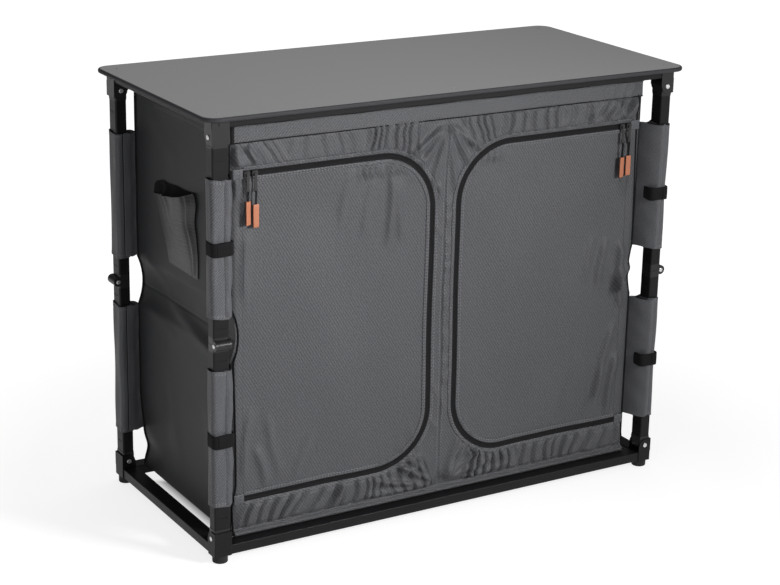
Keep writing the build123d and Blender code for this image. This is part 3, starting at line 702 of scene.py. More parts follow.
def cloth_material(name, colour, pitch, slant, contrast, depth, roughness=0.82, sheen=0.12, specular=0.3):
    """Woven cloth with a mottled colour and a bumpy weave."""
    tree, shader = start_material(name)
    weave = place_group(tree, "twill_weave", (-900, 0), Pitch=pitch, Slant=slant, Contrast=contrast)
    mottle = place_group(tree, "slow_mottle", (-600, 100), Colour=(*colour, 1), Scale=7.0, Amount=0.10)
    tree.links.new(weave.outputs["Shade"], mottle.inputs["Shade"])
    tree.links.new(mottle.outputs["Colour"], shader.inputs["Base Color"])
    set_sockets(shader, {"Roughness": roughness, "Sheen Weight": sheen, "Sheen Roughness": 0.5,
                         "Specular IOR Level": specular})
    bump(tree, weave.outputs["Height"], shader, 0.5, depth)


def hard_material(name, colour, roughness, scale, depth,
                  metallic=0.0, amount=0.08, spread=0.08, specular=0.5):
    """Paint, moulded plastic, rubber, metal or laminate with a fine grain."""
    tree, shader = start_material(name)
    grain = place_group(tree, "fine_grain", (-900, 0), Scale=scale, Roughness=roughness, Spread=spread)
    mottle = place_group(tree, "slow_mottle", (-600, 200), Colour=(*colour, 1), Scale=11.0, Amount=amount)
    tree.links.new(mottle.outputs["Colour"], shader.inputs["Base Color"])
    tree.links.new(grain.outputs["Roughness"], shader.inputs["Roughness"])
    set_sockets(shader, {"Metallic": metallic, "Specular IOR Level": specular})
    bump(tree, grain.outputs["Height"], shader, 0.4, depth)


def toned(colour, share):
    """A colour made lighter or darker by a share."""
    return [value * share for value in colour]


class CUPBOARD_OT_materials(bpy.types.Operator):
    """Makes the cloths, tapes, paints and metals"""

    bl_idname = "cupboard.materials"
    bl_label = "Make the materials"

    def execute(self, context):
        cloth, hard = context.scene.cupboard_cloth, context.scene.cupboard_hard
        make_weave_group()
        make_mottle_group()
        make_grain_group()
        pitch = cloth.twill_pitch
        # Name, colour, pitch, slant and contrast of the lines, depth of the weave, and the surface
        grey_surface = {"roughness": 0.55, "specular": 0.45}
        for name, colour, spacing, slant, contrast, depth, surface in (
                ("grey_twill", cloth.grey, pitch, 2.6, 0.26, 0.00022, grey_surface),
                ("grey_header_twill", toned(cloth.grey, 1.07), pitch * 0.9, 0.75, 0.26, 0.00022,
                 grey_surface),
                # The sleeves' copy of the grey cloth, also used for the flaps, the hem piping and the zips'
                # end tabs, is made lighter: painted light
                ("grey_twill_painted_light", toned(cloth.grey, 1.24), pitch * 0.8, 0.75, 0.24, 0.00022,
                 grey_surface),
                ("dark_cloth", cloth.dark, pitch * 0.5, 0.4, 0.04, 0.00004,
                 {"roughness": 0.5, "sheen": 0.0, "specular": 0.16}),
                ("dark_pocket_cloth", toned(cloth.dark, 0.92), pitch * 1.3, 1.57, 0.12, 0.00014,
                 {"roughness": 0.42, "sheen": 0.0, "specular": 0.34}),
                # A near-black sheet in the pocket's mouth: painted shade
                ("pocket_mouth_shade", toned(cloth.black, 1.4), pitch * 0.5, 0.4, 0.06, 0.00004,
                 {"sheen": 0.0, "specular": 0.1}),
                ("black_webbing", cloth.black, pitch * 0.6, 1.57, 0.16, 0.00025,
                 {"roughness": 0.85, "sheen": 0.0, "specular": 0.2}),
                ("black_tape", cloth.black, pitch * 0.35, 1.57, 0.10, 0.00020,
                 {"roughness": 0.6, "sheen": 0.0, "specular": 0.14}),
                ("sewing_thread", cloth.thread, 0.0012, 0.9, 0.08, 0.00005, {"sheen": 0.0})):
            cloth_material(name, colour, spacing, slant, contrast, depth, **surface)
        # Name, colour, roughness, scale and depth of the grain, and the rest of the surface
        board = (0.075, 0.066, 0.058)
        for name, colour, roughness, scale, depth, surface in (
                ("worktop_laminate", hard.laminate, 0.42, 1500.0, 0.00002,
                 {"amount": 0.03, "spread": 0.04, "specular": 0.35}),
                ("edge_plastic", hard.paint, 0.36, 900.0, 0.00003, {"specular": 0.3}),
                ("frame_paint", hard.paint, 0.44, 1300.0, 0.00006, {"specular": 0.16}),
                ("bracket_nylon", hard.nylon, 0.40, 1100.0, 0.00004, {"specular": 0.35}),
                ("foot_rubber", toned(hard.nylon, 0.8), 0.62, 700.0, 0.00008, {"specular": 0.3}),
                ("rivet_steel", hard.rivets, 0.26, 800.0, 0.00001, {"metallic": 1.0, "spread": 0.06}),
                ("slider_metal", hard.paint, 0.42, 900.0, 0.00002, {"specular": 0.3}),
                ("tab_edge", toned(hard.tabs, 0.2), 0.55, 420.0, 0.00014, {"amount": 0.10}),
                # A darker copy of the brackets' nylon for the base brackets: painted shade low down
                ("base_nylon_painted_shade", toned(hard.nylon, 0.8), 0.45, 1100.0, 0.00004, {"specular": 0.16}),
                ("tab_leather", hard.tabs, 0.48, 420.0, 0.00014, {"amount": 0.10}),
                ("pressed_board", board, 0.75, 260.0, 0.00012, {"amount": 0.2})):
            hard_material(name, colour, roughness, scale, depth, **surface)
        return {"FINISHED"}


# Hard pieces

class CUPBOARD_OT_worktop(bpy.types.Operator):
    """Finishes the worktop, its moulded edge and its screws"""

    bl_idname = "cupboard.worktop"
    bl_label = "Worktop"

    def execute(self, context):
        dress(["worktop"], "worktop_laminate")
        dress(["edge_trim"], "edge_plastic")
        dress(["top_screws"], "rivet_steel")
        # Dark flat crosses on the screws' heads: painted shade for their recesses.
        half_length, half_width = 0.0021, 0.00045
        level = Vector((0, 0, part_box("top_screws")[1].z + 0.00004))
        points, faces = [], []
        for middle in head_middles():
            for turn in (20, 110):
                along = Matrix.Rotation(math.radians(turn), 3, "Z") @ Vector((1, 0, 0))
                across = Vector((-along.y, along.x, 0))
                first = len(points)
                for end, side in ((-1, -1), (1, -1), (1, 1), (-1, 1)):
                    points.append(middle + along * (end * half_length) + across * (side * half_width)
                                  + level)
                faces.append((first, first + 1, first + 2, first + 3))
        painted_recess_shade = mesh_object("screw_recess_shade", points, faces, None, ["bracket_nylon"], smooth=False)
        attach(painted_recess_shade, "top")
        return {"FINISHED"}


def head_middles():
    """Plan places of the screws' heads, from the screws' own points."""
    head_width = 0.012
    found = []
    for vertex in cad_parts["top_screws"].data.vertices:
        place = Vector((vertex.co.x, vertex.co.y, 0))
        near = [group for group in found if (group[0] - place).length < head_width]
        if near:
            near[0].append(place)
        else:
            found.append([place])
    middles = []
    for group in found:
        xs, ys = [p.x for p in group], [p.y for p in group]
        middles.append(Vector(((min(xs) + max(xs)) / 2, (min(ys) + max(ys)) / 2, 0)))
    return middles


def dress(nodes, material):
    """Gives a material to solids that are shown as they are."""
    for name in nodes:
        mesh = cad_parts[name].data
        mesh.materials.clear()
        mesh.materials.append(bpy.data.materials[material])


class CUPBOARD_OT_frame(bpy.types.Operator):
    """Finishes the rails, brackets, legs, knees, rivets and feet"""

    bl_idname = "cupboard.frame"
    bl_label = "Frame and legs"

    def execute(self, context):
        dress(["base_rails", "top_rails"], "frame_paint")
        # The base brackets take the darker copy of the nylon, which is painted shade.
        dress(["base_brackets"], "base_nylon_painted_shade")
        dress(["top_brackets"], "bracket_nylon")
        dress(["feet"], "foot_rubber")
        dress(["base_rivets", "top_rivets"], "rivet_steel")
        for name in legs:
            for half in ("lower", "upper"):
                dress([f"{half}_tube_{name}"], "frame_paint")
                dress([f"{half}_fittings_{name}"], "bracket_nylon")
            dress([f"knee_pin_{name}"], "rivet_steel")
        dress(["floor_boards", "shelf_boards"], "pressed_board")
        return {"FINISHED"}


# Sleeves and straps

def ring_line(half_depth, half_width, radius, steps=72):
    """Evenly spaced places round a rounded rectangle, with their outward directions."""
    fine = []
    for quarter, (way_d, way_w) in enumerate(((1, 1), (-1, 1), (-1, -1), (1, -1))):
        middle_d, middle_w = way_d * (half_depth - radius), way_w * (half_width - radius)
        for turn in np.radians(np.linspace(0, 90, 12) + 90 * quarter):
            out_d, out_w = math.cos(turn), math.sin(turn)
            fine.append((middle_d + radius * out_d, middle_w + radius * out_w, out_d, out_w))
    fine = np.array(fine + [fine[0]])
    lengths = line_lengths(fine[:, :2])
    spots = np.linspace(0, lengths[-1], steps, endpoint=False)
    line = np.stack([np.interp(spots, lengths, fine[:, axis]) for axis in range(4)], axis=1)
    return line, spots, lengths[-1]


def ring_place(line, around, spot):
    """Place and outward direction at a spot along a closed line of this length."""
    index = (spot / around) % 1.0 * len(line)
    first, share = int(index) % len(line), index - int(index)
    return line[first] * (1 - share) + line[(first + 1) % len(line)] * share


def sleeve_ends(name, half):
    """The corners of a sleeve's solid, with the upper hem drawn down to where the photo shows it."""
    low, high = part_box(f"{half}_sleeve_{name}")
    drops = {"upper_back_left": 0.016, "lower_front_right": 0.009}
    drop = drops.get(f"{half}_{name}", 0.009 if half == "upper" else 0.0)
    return low, Vector((high.x, high.y, high.z - drop))


def strap_place(name, half):
    """Height of a front sleeve's strap."""
    if not name.startswith("front"):
        return None
    above_knee = {"upper_front_left": 0.171, "upper_front_right": 0.157,
                  "lower_front_left": -0.177, "lower_front_right": -0.180}
    return knee_height + above_knee[f"{half}_{name}"]


def corner_place(name, z):
    """How far out the box's corner beside a leg lies, at each height."""
    out = panel_half - bow(z)
    if not name.startswith("back"):
        return out
    z = np.asarray(z)
    swell = 0.006 * smooth_step((z - 0.10) / 0.10)
    taper = 0.008 * np.exp(-((z - 0.072) / 0.022) ** 2)
    return out + swell - taper


def leg_places(name):
    """Middle of a leg in plan, its fold direction and the direction along its hinges."""
    low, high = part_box(f"lower_tube_{name}")
    middle = (low + high) / 2
    inwards = legs[name]
    return Vector((middle.x, middle.y, 0)), inwards, Vector((0, 0, 1)).cross(inwards)


class CUPBOARD_OT_sleeves(bpy.types.Operator):
    """Makes the eight cloth sleeves round the legs, with their hems, stitching and straps"""

    bl_idname = "cupboard.sleeves"
    bl_label = "Leg sleeves"

    def execute(self, context):
        for number, name in enumerate(legs):
            for half in ("lower", "upper"):
                make_sleeve(name, half, number * 2 + (half == "upper"))
        return {"FINISHED"}


def make_sleeve(name, half, seed):
    """One sleeve, its stitching and, on a front leg, its strap."""
    node = f"{half}_sleeve_{name}"
    body = f"{half}_leg_{name}"
    centre, inwards, along = leg_places(name)
    line, spots, around = ring_line(sleeve_half_depth, sleeve_half_width, sleeve_corner)
    chance = random.Random(20 + seed)
    phases = [chance.uniform(0, 6.28) for _ in range(6)]
    strap_middle = strap_place(name, half)
    low, high = sleeve_ends(name, half)
    length = high.z - low.z
    puff_depth, pucker_depth, flare_depth = 0.0011, 0.0007, 0.0006

    def surface(spot, z, out=0.0):
        turn = 2 * math.pi * spot / around
        from_end = min(z - low.z, high.z - z)
        loose, pucker = 1.0, 0.0
        if strap_middle is not None:
            loose = 1 - math.exp(-((z - strap_middle) / 0.026) ** 2)
            pull = math.exp(-((abs(z - strap_middle) - 0.022) / 0.010) ** 2)
            pucker = pucker_depth * pull * (0.5 + 0.5 * math.sin(7 * turn + phases[3]))
        waves = (1.0 + 0.6 * math.sin(2 * turn + phases[0] + 21 * z) * math.sin(17 * z + phases[1])
                 + 0.4 * math.sin(3 * turn + phases[2] - 33 * z))
        puff = puff_depth * loose * waves + pucker
        flare = flare_depth * math.exp(-from_end / 0.006)
        hem_wave = 0.0016 * math.sin(turn + phases[4]) + 0.0008 * math.sin(2 * turn + phases[5])
        d, w, out_d, out_w = ring_place(line, around, spot)
        reach = out + puff + flare
        place = centre + inwards * (d + out_d * reach) + along * (w + out_w * reach)
        place.z = z + math.exp(-from_end / 0.02) * hem_wave
        return place, inwards * out_d + along * out_w

    def sewn_row(row_spots, row_heights):
        row = [surface(spot, z, out=0.0001) for spot, z in zip(row_spots, row_heights)]
        return [place for place, _ in row], [out for _, out in row]

    # The cloth turns in at both ends, so the rows of the outside stand between those of the two hems.
    hem_insets = (0.012, 0.004, 0.001)
    ups = np.concatenate([[0.0, 0.0012, 0.003], np.linspace(0.006, length - 0.006, 58),
                          [length - 0.003, length - 0.0012, length]])
    rows = [(low.z + inset, -0.0006, low.z - inset) for inset in hem_insets]
    rows += [(low.z + up, 0.0, low.z + up) for up in ups]
    rows += [(high.z - inset, -0.0006, high.z + inset) for inset in reversed(hem_insets)]
    points, flat = [], []
    for z, out, flat_z in rows:
        for spot in spots:
            points.append(surface(spot, z, out)[0])
            flat.append((spot, flat_z))
    faces = grid_faces(len(rows), len(spots), closed=True)
    sleeve = mesh_object(f"sleeve_{half}_{name}", points, faces, flat, ["grey_twill_painted_light"])
    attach(sleeve, body)
    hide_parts(node)

    sewn = []
    fine_spots = np.linspace(0, around, 90)
    for inset in (0.0042, 0.0068):
        for z in (low.z + inset, high.z - inset):
            sewn.append(sewn_row(fine_spots, [z] * len(fine_spots)))
    # The closing seam runs down a side that faces away from the box.
    seam_shares = {"front_left": 0.90, "front_right": 0.90, "back_right": 0.145, "back_left": 0.12}
    heights = np.linspace(low.z + 0.002, high.z - 0.002, 60)
    for shift in (-0.0022, 0.0022):
        sewn.append(sewn_row([around * seam_shares[name] + shift] * len(heights), heights))
    thread = stitches(f"sleeve_stitching_{half}_{name}", sewn)
    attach(thread, body)
    if strap_middle is not None:
        make_strap(name, half, strap_middle, body)


def make_strap(name, half, middle, body):
    """A hook-and-loop strap round a sleeve and its flap, with its end lapped over itself."""
    centre, inwards, along = leg_places(name)
    side = 1 if name.endswith("right") else -1
    # The strap reaches further towards the box, where it also goes round the flap.
    reach = 0.0026 if side < 0 else 0.0062
    centre = centre + Vector((-side * reach, -0.0014, 0))
    extra_depth, extra_width = reach + 0.0010, 0.0032
    if inwards.x == 0:
        extra_depth, extra_width = extra_width, extra_depth
    half_depth, half_width = sleeve_half_depth + extra_depth, sleeve_half_width + extra_width
    line, _, around = ring_line(half_depth, half_width, 0.0080, steps=110)
    # The band's section: how far up and how far out
    profile = [(-0.0124, -0.0008), (-0.0123, 0.0008), (-0.0108, 0.0011), (0.0, 0.0013),
               (0.0108, 0.0011), (0.0123, 0.0008), (0.0124, -0.0008)]
    lap_start = around * (0.30 if name == "front_left" else 0.20)
    lap_length, lap_lift, lap_share = 0.030, 0.0013, 0.97

    def place_on(spot, up, rise):
        d, w, out_d, out_w = ring_place(line, around, spot)
        place = centre + inwards * (d + out_d * rise) + along * (w + out_w * rise)
        place.z = middle + up + 0.0005 * math.sin(spot * 120 + up * 60)
        return place

    pieces = []
    for start, length, lift, count, share in (
            (0.0, around, 0.0, 111, 1), (lap_start, lap_length, lap_lift, 24, lap_share)):
        points, flat = [], []
        stops = np.linspace(start, start + length, count)
        for spot in stops:
            taper = float(smooth_step(min(spot - start, start + length - spot) / 0.0016))
            for up, height in profile:
                points.append(place_on(spot, up * share, height + lift * taper))
                flat.append((up, spot))
        faces = grid_faces(len(stops), len(profile))
        pieces.append(mesh_object("band", points, faces, flat, ["black_webbing"]))
    strap = join_pieces(f"strap_{half}_{name}", pieces)
    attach(strap, body)
    return strap


# The box's front

class CUPBOARD_OT_front(bpy.types.Operator):
    """Makes the front panel round the doors, its header, middle seam and hem"""

    bl_idname = "cupboard.front"
    bl_label = "Front panel"

    def execute(self, context):
        gap = 0.0004
        rows = door_rows()
        hem_rows = np.linspace(box_bottom + 0.004, box_bottom + 0.014, 6)[:-1]
        heights_low = np.concatenate([hem_rows, np.linspace(box_bottom + 0.014, door_bottom, 27)])
        heights_high = np.linspace(door_top, header_seam + 0.003, 26)
        middle_share = np.linspace(-1, 1, 150)
        run = np.linspace(door_hinge, door_inner + door_round, 150)
        patches = []
        for heights in (heights_low, heights_high):
            patches.append(front_points(middle_share[None, :] * (door_inner + door_round), heights[:, None]))
            for side in (-1, 1):
                patches.append(front_points(side * run[None, :], heights[:, None]))
                patches.append(self.margin(side, heights, door_hinge))
        middle_half = door_reach(rows)[:, None] - gap
        patches.append(front_points(middle_share[None, :] * middle_half, rows[:, None]))
        patches += [self.margin(side, rows, door_hinge + gap) for side in (-1, 1)]
        # The hem turns in under the box.
        hem = []
        hem_round = 0.004
        x = np.linspace(-front_edge(-1, box_bottom), front_edge(1, box_bottom), 320)
        for turn in np.radians(np.linspace(0, 80, 6)):
            points = front_points(x, box_bottom + hem_round)
            points[:, 1] += hem_round * (1 - math.cos(turn))
            points[:, 2] -= hem_round * math.sin(turn)
            hem.append(points)
        patches.append(np.array(hem))
        panel = sheet_object("front_cloth", patches, [0, 2], ["grey_twill"])
        hang(panel)
        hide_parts("front_panel")
        extras = [self.header(), self.top_binding(), self.seams(), self.piping()]
        return {"FINISHED"}

    def margin(self, side, heights, start):
        """The cloth beside a door, from the door's hinge to the front's edge."""
        run = np.linspace(0, 1, 10)[None, :]
        x = start + (front_edge(side, heights)[:, None] - start) * run
        return front_points(side * x, heights[:, None])

    def header(self):
        """The strip along the top, lapped over the gathers."""
        columns = np.concatenate([np.linspace(-panel_half, -0.33, 30), np.linspace(-0.33, 0.33, 70)[1:-1],
                                  np.linspace(0.33, panel_half, 34)])
        # The strip's section: how far down and how far out
        profile = [(0.0, 0.0009), (0.012, 0.0010), (0.020, 0.0010), (0.026, 0.0012), (0.038, 0.0015),
                   (0.0465, 0.0020), (0.0492, 0.0021), (0.0500, 0.0017), (0.0503, 0.0009), (0.0496, 0.0003)]
        fold_sizes = ((0.405, 1.2), (0.385, 1.0), (0.362, 0.8), (0.335, 0.5),
                      (-0.40, 0.5), (0.13, 0.25), (0.155, 0.3))
        fold_height, fold_width = 0.0016, 0.0068
        grid = []
        for down, out in profile:
            z = np.full_like(columns, box_top - down)
            folds = np.zeros_like(columns)
            for place, size in fold_sizes:
                start, end = (place + 0.022, box_top + 0.012), (place - 0.012, header_seam - 0.022)
                folds += one_fold(columns, z, start, end, fold_height * size, fold_width)
            slow = 0.0006 * np.sin(columns * 23) * smooth_step(down / 0.05)
            grid.append(points_of(columns, front_y - out - folds - slow, z))
        strip = sheet_object("front_header", [np.array(grid)], [0, 2], ["grey_header_twill"])
        hang(strip)
        # A thin black cord under the header's lower edge: a painted shadow line along the seam.
        line = points_of(columns, front_y - 0.0024, header_seam - 0.0006)
        cord = tube("front_header_shadow_line", line, 0.0010, ["black_webbing"])
        hang(cord)
        return strip

    def top_binding(self):
        """The black binding over the header's upper edge and down its left end."""
        columns = np.linspace(-panel_half, panel_half, 160)
        section = ((box_top, 0.0020), (header_seam + 0.0325, 0.0024), (header_seam + 0.0300, 0.0026),
                   (header_seam + 0.0285, 0.0021), (header_seam + 0.0290, 0.0010))
        grid = []
        for z, out in section:
            level = z + (0.0006 * np.sin(columns * 41) if z < box_top else 0.0)
            grid.append(points_of(columns, front_y - out - 0.0016, level))
        end_section = ((0, 0.0012), (0.0004, 0.0034), (0.0040, 0.0037), (0.0078, 0.0034), (0.0082, 0.0012))
        ends = []
        for z in np.linspace(box_top, header_seam - 0.001, 12):
            ends.append([(-panel_half + across, front_y - out, z) for across, out in end_section])
        band = sheet_object("front_top_binding", [np.array(grid), np.array(ends)], [0, 2], ["black_tape"])
        hang(band)
        return band

    def seams(self):
        """Stitching of the middle seam."""
        heights = np.linspace(0.075, 0.72, 200)
        outs = [np.array([0, -1, 0])] * len(heights)
        sewn = [(front_points(x, heights), outs) for x in (-0.0042, 0.0042)]
        thread = stitches("front_stitching", sewn)
        hang(thread)
        return thread

    def piping(self):
        """Grey piping along the hem, and black piping up both sides of the front that partly stands as
        painted shadow in the gap beside the sleeves.
        """
        columns = np.linspace(-panel_half + 0.010, panel_half - 0.010, 160)
        level = box_bottom + 0.0088 + 0.0006 * np.sin(columns * 60)
        points = front_points(columns, level) - np.array([0, 0.0006, 0])
        cord = tube("front_hem_piping", points, 0.0013, ["grey_twill_painted_light"])
        hang(cord)
        # The left piping runs outwards at its foot and towards the top, the right one on its way down.
        for side, name in sides:
            heights = np.linspace(box_bottom + 0.003, header_seam + (0.028 if side < 0 else 0.002), 150)
            foot = 0.0
            if side < 0:
                share = smooth_step((heights - 0.14) / 0.50)
                foot = 0.0065 * smooth_step((0.135 - heights) / 0.05)
            else:
                share = smooth_step((0.72 - heights) / 0.25)
            x = side * (panel_half - 0.0095 + 0.0080 * share + foot - bow(heights))
            points = front_points(x, heights) - np.array([0, 0.0005, 0])
            # The black cord is piping and also a painted shadow line in the gap beside the sleeves.
            black = tube(f"front_edge_piping_and_shadow_{name}", points, 0.0017, ["black_webbing"])
            hang(black)
        return cord


class CUPBOARD_OT_doors(bpy.types.Operator):
    """Makes the two doors and the stitched welts round them"""

    bl_idname = "cupboard.doors"
    bl_label = "Doors"

    def execute(self, context):
        rows = door_rows()
        share = np.linspace(0, 1, 180)
        # The welt's section: how far across and how far out
        welt = [(-0.0052, 0.0002), (-0.0054, 0.0016), (-0.0072, 0.0019),
                (-0.0104, 0.0017), (-0.0124, 0.0013), (-0.0130, 0.0001)]
        for side, name in sides:
            reach = door_reach(rows)[:, None]
            x = side * (door_hinge + (reach - door_hinge) * share[None, :])
            cloth = front_points(x, rows[:, None])
            door = sheet_object(f"door_cloth_{name}", [cloth], [0, 2], ["grey_twill"])
            hang(door, f"door_{name}")
            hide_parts(f"door_{name}")
            places, outs = zip_line(side)
            inner = swept_strip(f"door_welt_{name}", places, outs, welt, ["grey_twill"])
            hang(inner, f"door_{name}")
            mirrored = [(-across, out) for across, out in reversed(welt)]
            outer = swept_strip(f"front_welt_{name}", places, outs, mirrored, ["grey_twill"])
            hang(outer)
            sewn = {-1: [], 1: []}
            for way in (-1, 1):
                for offset in (0.0074, 0.0110):
                    line = places + outs * (way * offset) + np.array([0, -0.0018, 0])
                    sewn[way].append((line, [np.array([0, -1, 0])] * len(line)))
            door_thread = stitches(f"door_stitching_{name}", sewn[-1])
            hang(door_thread, f"door_{name}")
            front_thread = stitches(f"front_zip_stitching_{name}", sewn[1])
            hang(front_thread)
        return {"FINISHED"}


class CUPBOARD_OT_zips(bpy.types.Operator):
    """Makes the zips' tapes, their end tabs and finishes the sliders"""

    bl_idname = "cupboard.zips"
    bl_label = "Zips"

    def execute(self, context):
        half = max(zip_half, 0.0057)
        # One half of the zip's section, from its middle out: the teeth, then the tape
        half_profile = [(0.0004, 0.0019), (0.0012, 0.0018), (0.0016, 0.0010), (0.0019, 0.0016),
                        (half - 0.0004, 0.0016), (half, 0.0014), (half, 0.0002)]
        profile = [(-across, out) for across, out in reversed(half_profile)] + [(0.0, 0.0015)] + half_profile
        for side, name in sides:
            places, outs = zip_line(side)
            tape = swept_strip(f"zip_tape_{name}", places, outs, profile, ["black_tape"])
            hang(tape, f"door_{name}")
            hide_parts(f"zip_{name}")
        self.end_tabs()
        dress(["sliders_left", "sliders_right"], "slider_metal")
        return {"FINISHED"}

    def end_tabs(self):
        """A small folded tab of cloth over each end of each zip."""
        low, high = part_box("zip_end_tabs")
        half_width = 0.0100
        half_height = (high.z - low.z) / 2
        middle_x = -low.x - half_width
        thickness = 0.0012
        upper, lower = [], []
        for side in (-1, 1):
            for z, group in ((door_top, upper), (door_bottom, lower)):
                grid = []
                for v in np.linspace(-1, 1, 17):
                    row = []
                    for u in np.linspace(-1, 1, 19):
                        round_off = (1 - u ** 8) ** 0.5 * (1 - v ** 8) ** 0.5
                        fold = 0.0005 * math.exp(-((u * side + 0.35) / 0.12) ** 2)
                        fold += 0.0004 * math.exp(-((v - 0.1) / 0.15) ** 2)
                        row.append((side * middle_x + u * half_width,
                                    low.y + 0.0006 - (thickness + fold) * round_off, z + v * half_height))
                    grid.append(row)
                group.append(sheet_object("tab", [np.array(grid)], [0, 2], ["grey_twill_painted_light"]))
        tabs = join_pieces("zip_end_tabs_top", upper)
        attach(tabs, "zip_ends")
        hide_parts("zip_end_tabs")
        feet = join_pieces("zip_end_tabs_foot", lower)
        hang(feet)


class CUPBOARD_OT_pullers(bpy.types.Operator):
    """Makes the four pullers: link, cord loop and tab"""

    bl_idname = "cupboard.pullers"
    bl_label = "Pullers"

    def execute(self, context):
        for side in ("left", "right"):
            for place in ("outer", "inner"):
                self.puller(side, place)
        return {"FINISHED"}

    def puller(self, side, place):
        """One puller. Its tab hangs at its own height and turned a little."""
        node = f"puller_{side}_{place}"
        low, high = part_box(node)
        x = (low.x + high.x) / 2
        y = (low.y + high.y) / 2
        # How far above the solid's lower end the tab ends and begins, and its turn
        hangs = {"left_outer": (0.0084, 0.0505, 0.42), "left_inner": (0.0030, 0.0438, 0.12),
                 "right_inner": (0.0, 0.0389, 0.26), "right_outer": (0.0026, 0.0411, 0.06)}
        tab_up, tab_end, turn = hangs[f"{side}_{place}"]
        tab_low, tab_high = low.z + tab_up, low.z + tab_end
        link_foot = door_top - 0.033
        link = self.link(x, y, door_top, link_foot)
        # Half of the cord's loop, from inside the tab up to the link's window
        left = [Vector((-0.0013, -0.0002, tab_high - 0.003)),
                Vector((-0.0011, -0.0005, tab_high + 0.003)),
                Vector((-0.0011, -0.0012, link_foot - 0.004)),
                Vector((-0.0008, -0.0016, link_foot + 0.0012))]
        right = [Vector((-spot.x, spot.y, spot.z)) for spot in reversed(left)]
        top = Vector((0, -0.0014, link_foot + 0.0022))
        path = [spot + Vector((x, y, 0)) for spot in left + [top] + right]
        cord = tube("cord", smooth_line(path, 6), 0.00085, ["black_webbing"])
        tab = self.tab(Vector((x, y, 0)), tab_low, tab_high, turn)
        puller = join_pieces(f"pull_{side}_{place}", [link, cord, tab])
        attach(puller, node)
        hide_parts(node)

    def link(self, x, y, eye, foot):
        """The flat metal link, with an eye on the slider's bridge and a window for the cord."""
        # Heights and half widths
        outline = ((eye + 0.0017, 0.0009), (eye + 0.0012, 0.0017), (eye - 0.001, 0.0019),
                   (eye - 0.004, 0.0019), (eye - 0.0055, 0.0026), (eye - 0.020, 0.0025),
                   (foot + 0.009, 0.0026), (foot + 0.006, 0.0034), (foot + 0.0015, 0.0034), (foot, 0.0024))
        half_depth = 0.0007
        points, faces = [], []
        for z, half in outline:
            for depth in (-half_depth, half_depth):
                for way in (-1, 1):
                    points.append((x + way * half, y + depth - 0.0001, z))
        for row in range(len(outline) - 1):
            a = row * 4
            faces += [(a, a + 1, a + 5, a + 4), (a + 2, a + 6, a + 7, a + 3),
                      (a, a + 4, a + 6, a + 2), (a + 1, a + 3, a + 7, a + 5)]
        last = (len(outline) - 1) * 4
        faces += [(0, 2, 3, 1), (last, last + 1, last + 3, last + 2)]
        return mesh_object("link", points, faces, None, ["slider_metal"], smooth=False)

    def tab(self, middle, low, high, turn):
        """The tab: a folded strip with rounded corners, pinched where the cord goes in."""
        spin = Matrix.Rotation(turn, 3, "Z")
        # Height up the tab, and its width and thickness as shares of the whole
        rows = [(0.0, 0.90, 0.62), (0.0008, 0.985, 0.9), (0.003, 1.0, 1.0), (0.012, 1.0, 0.92),
                (0.023, 1.0, 0.88), (0.034, 1.0, 0.92), (0.043, 1.0, 1.0), (0.0452, 0.985, 0.9),
                (0.046, 0.90, 0.6)]
        ring = ring_line(0.0020, 0.0060, 0.0010, steps=32)[0]
        stretch = (high - low) / rows[-1][0]
        points, flat = [], []
        for up, wide, thick in rows:
            up = up * stretch
            for d, w, _, _ in ring:
                place = spin @ Vector((w * wide, d * thick, 0))
                points.append(middle + place + Vector((0, 0, low + up)))
                flat.append((w, up))
        faces = closed_faces(len(rows), len(ring))
        made = mesh_object("tab", points, faces, flat, ["tab_leather", "tab_edge"])
        # The narrow faces at both edges are darker.
        for number, face in enumerate(made.data.polygons[:(len(rows) - 1) * len(ring)]):
            first, second = ring[number % len(ring)], ring[(number + 1) % len(ring)]
            if abs(first[3] + second[3]) > 1.3:
                face.material_index = 1
        return made


def smooth_line(points, steps):
    """A smooth line through points."""
    points = [Vector(p) for p in points]
    line = []
    for number in range(len(points) - 1):
        p0, p1 = points[max(number - 1, 0)], points[number]
        p2, p3 = points[number + 1], points[min(number + 2, len(points) - 1)]
        for step in range(steps):
            t = step / steps
            line.append(0.5 * ((2 * p1) + (p2 - p0) * t + (2 * p0 - 5 * p1 + 4 * p2 - p3) * t ** 2
                               + (3 * p1 - p0 - 3 * p2 + p3) * t ** 3))
    line.append(points[-1])
    return [tuple(p) for p in line]


# The box's sides, back and inside

def side_relief(y, z, side):
    """How far a side panel's cloth stands out: slow waves, the middle seam and the folds round it."""
    wave = 0.0022 * np.sin(8.0 * y + 2.2 * side + 5.0 * z) * np.sin(5.1 * z + 0.7)
    wave = wave + 0.0010 * np.sin(15 * y - 9 * z)
    folds = 0.0
    for start, end, height, width in (
            ((-0.17, 0.345), (0.10, 0.402), 0.0034, 0.014), ((0.17, 0.372), (0.02, 0.330), 0.0022, 0.016),
            ((-0.16, 0.460), (-0.02, 0.408), 0.0020, 0.014), ((0.165, 0.47), (0.06, 0.41), 0.0018, 0.014),
            ((0.10, 0.30), (0.02, 0.06), 0.0022, 0.026), ((-0.09, 0.27), (-0.13, 0.07), 0.0018, 0.022),
            ((0.14, 0.75), (0.02, 0.66), 0.0014, 0.018), ((-0.12, 0.745), (-0.15, 0.55), 0.0012, 0.018)):
        folds = folds + one_fold(y, z, start, end, height, width)
    seam = -0.0012 * np.exp(-((z - side_seam) / 0.0022) ** 2)
    edge = smooth_step((0.185 - np.abs(y)) / 0.03) * smooth_step((z - box_bottom) / 0.03)
    edge = edge * smooth_step((box_top - z) / 0.04)
    return (wave + folds) * edge + seam


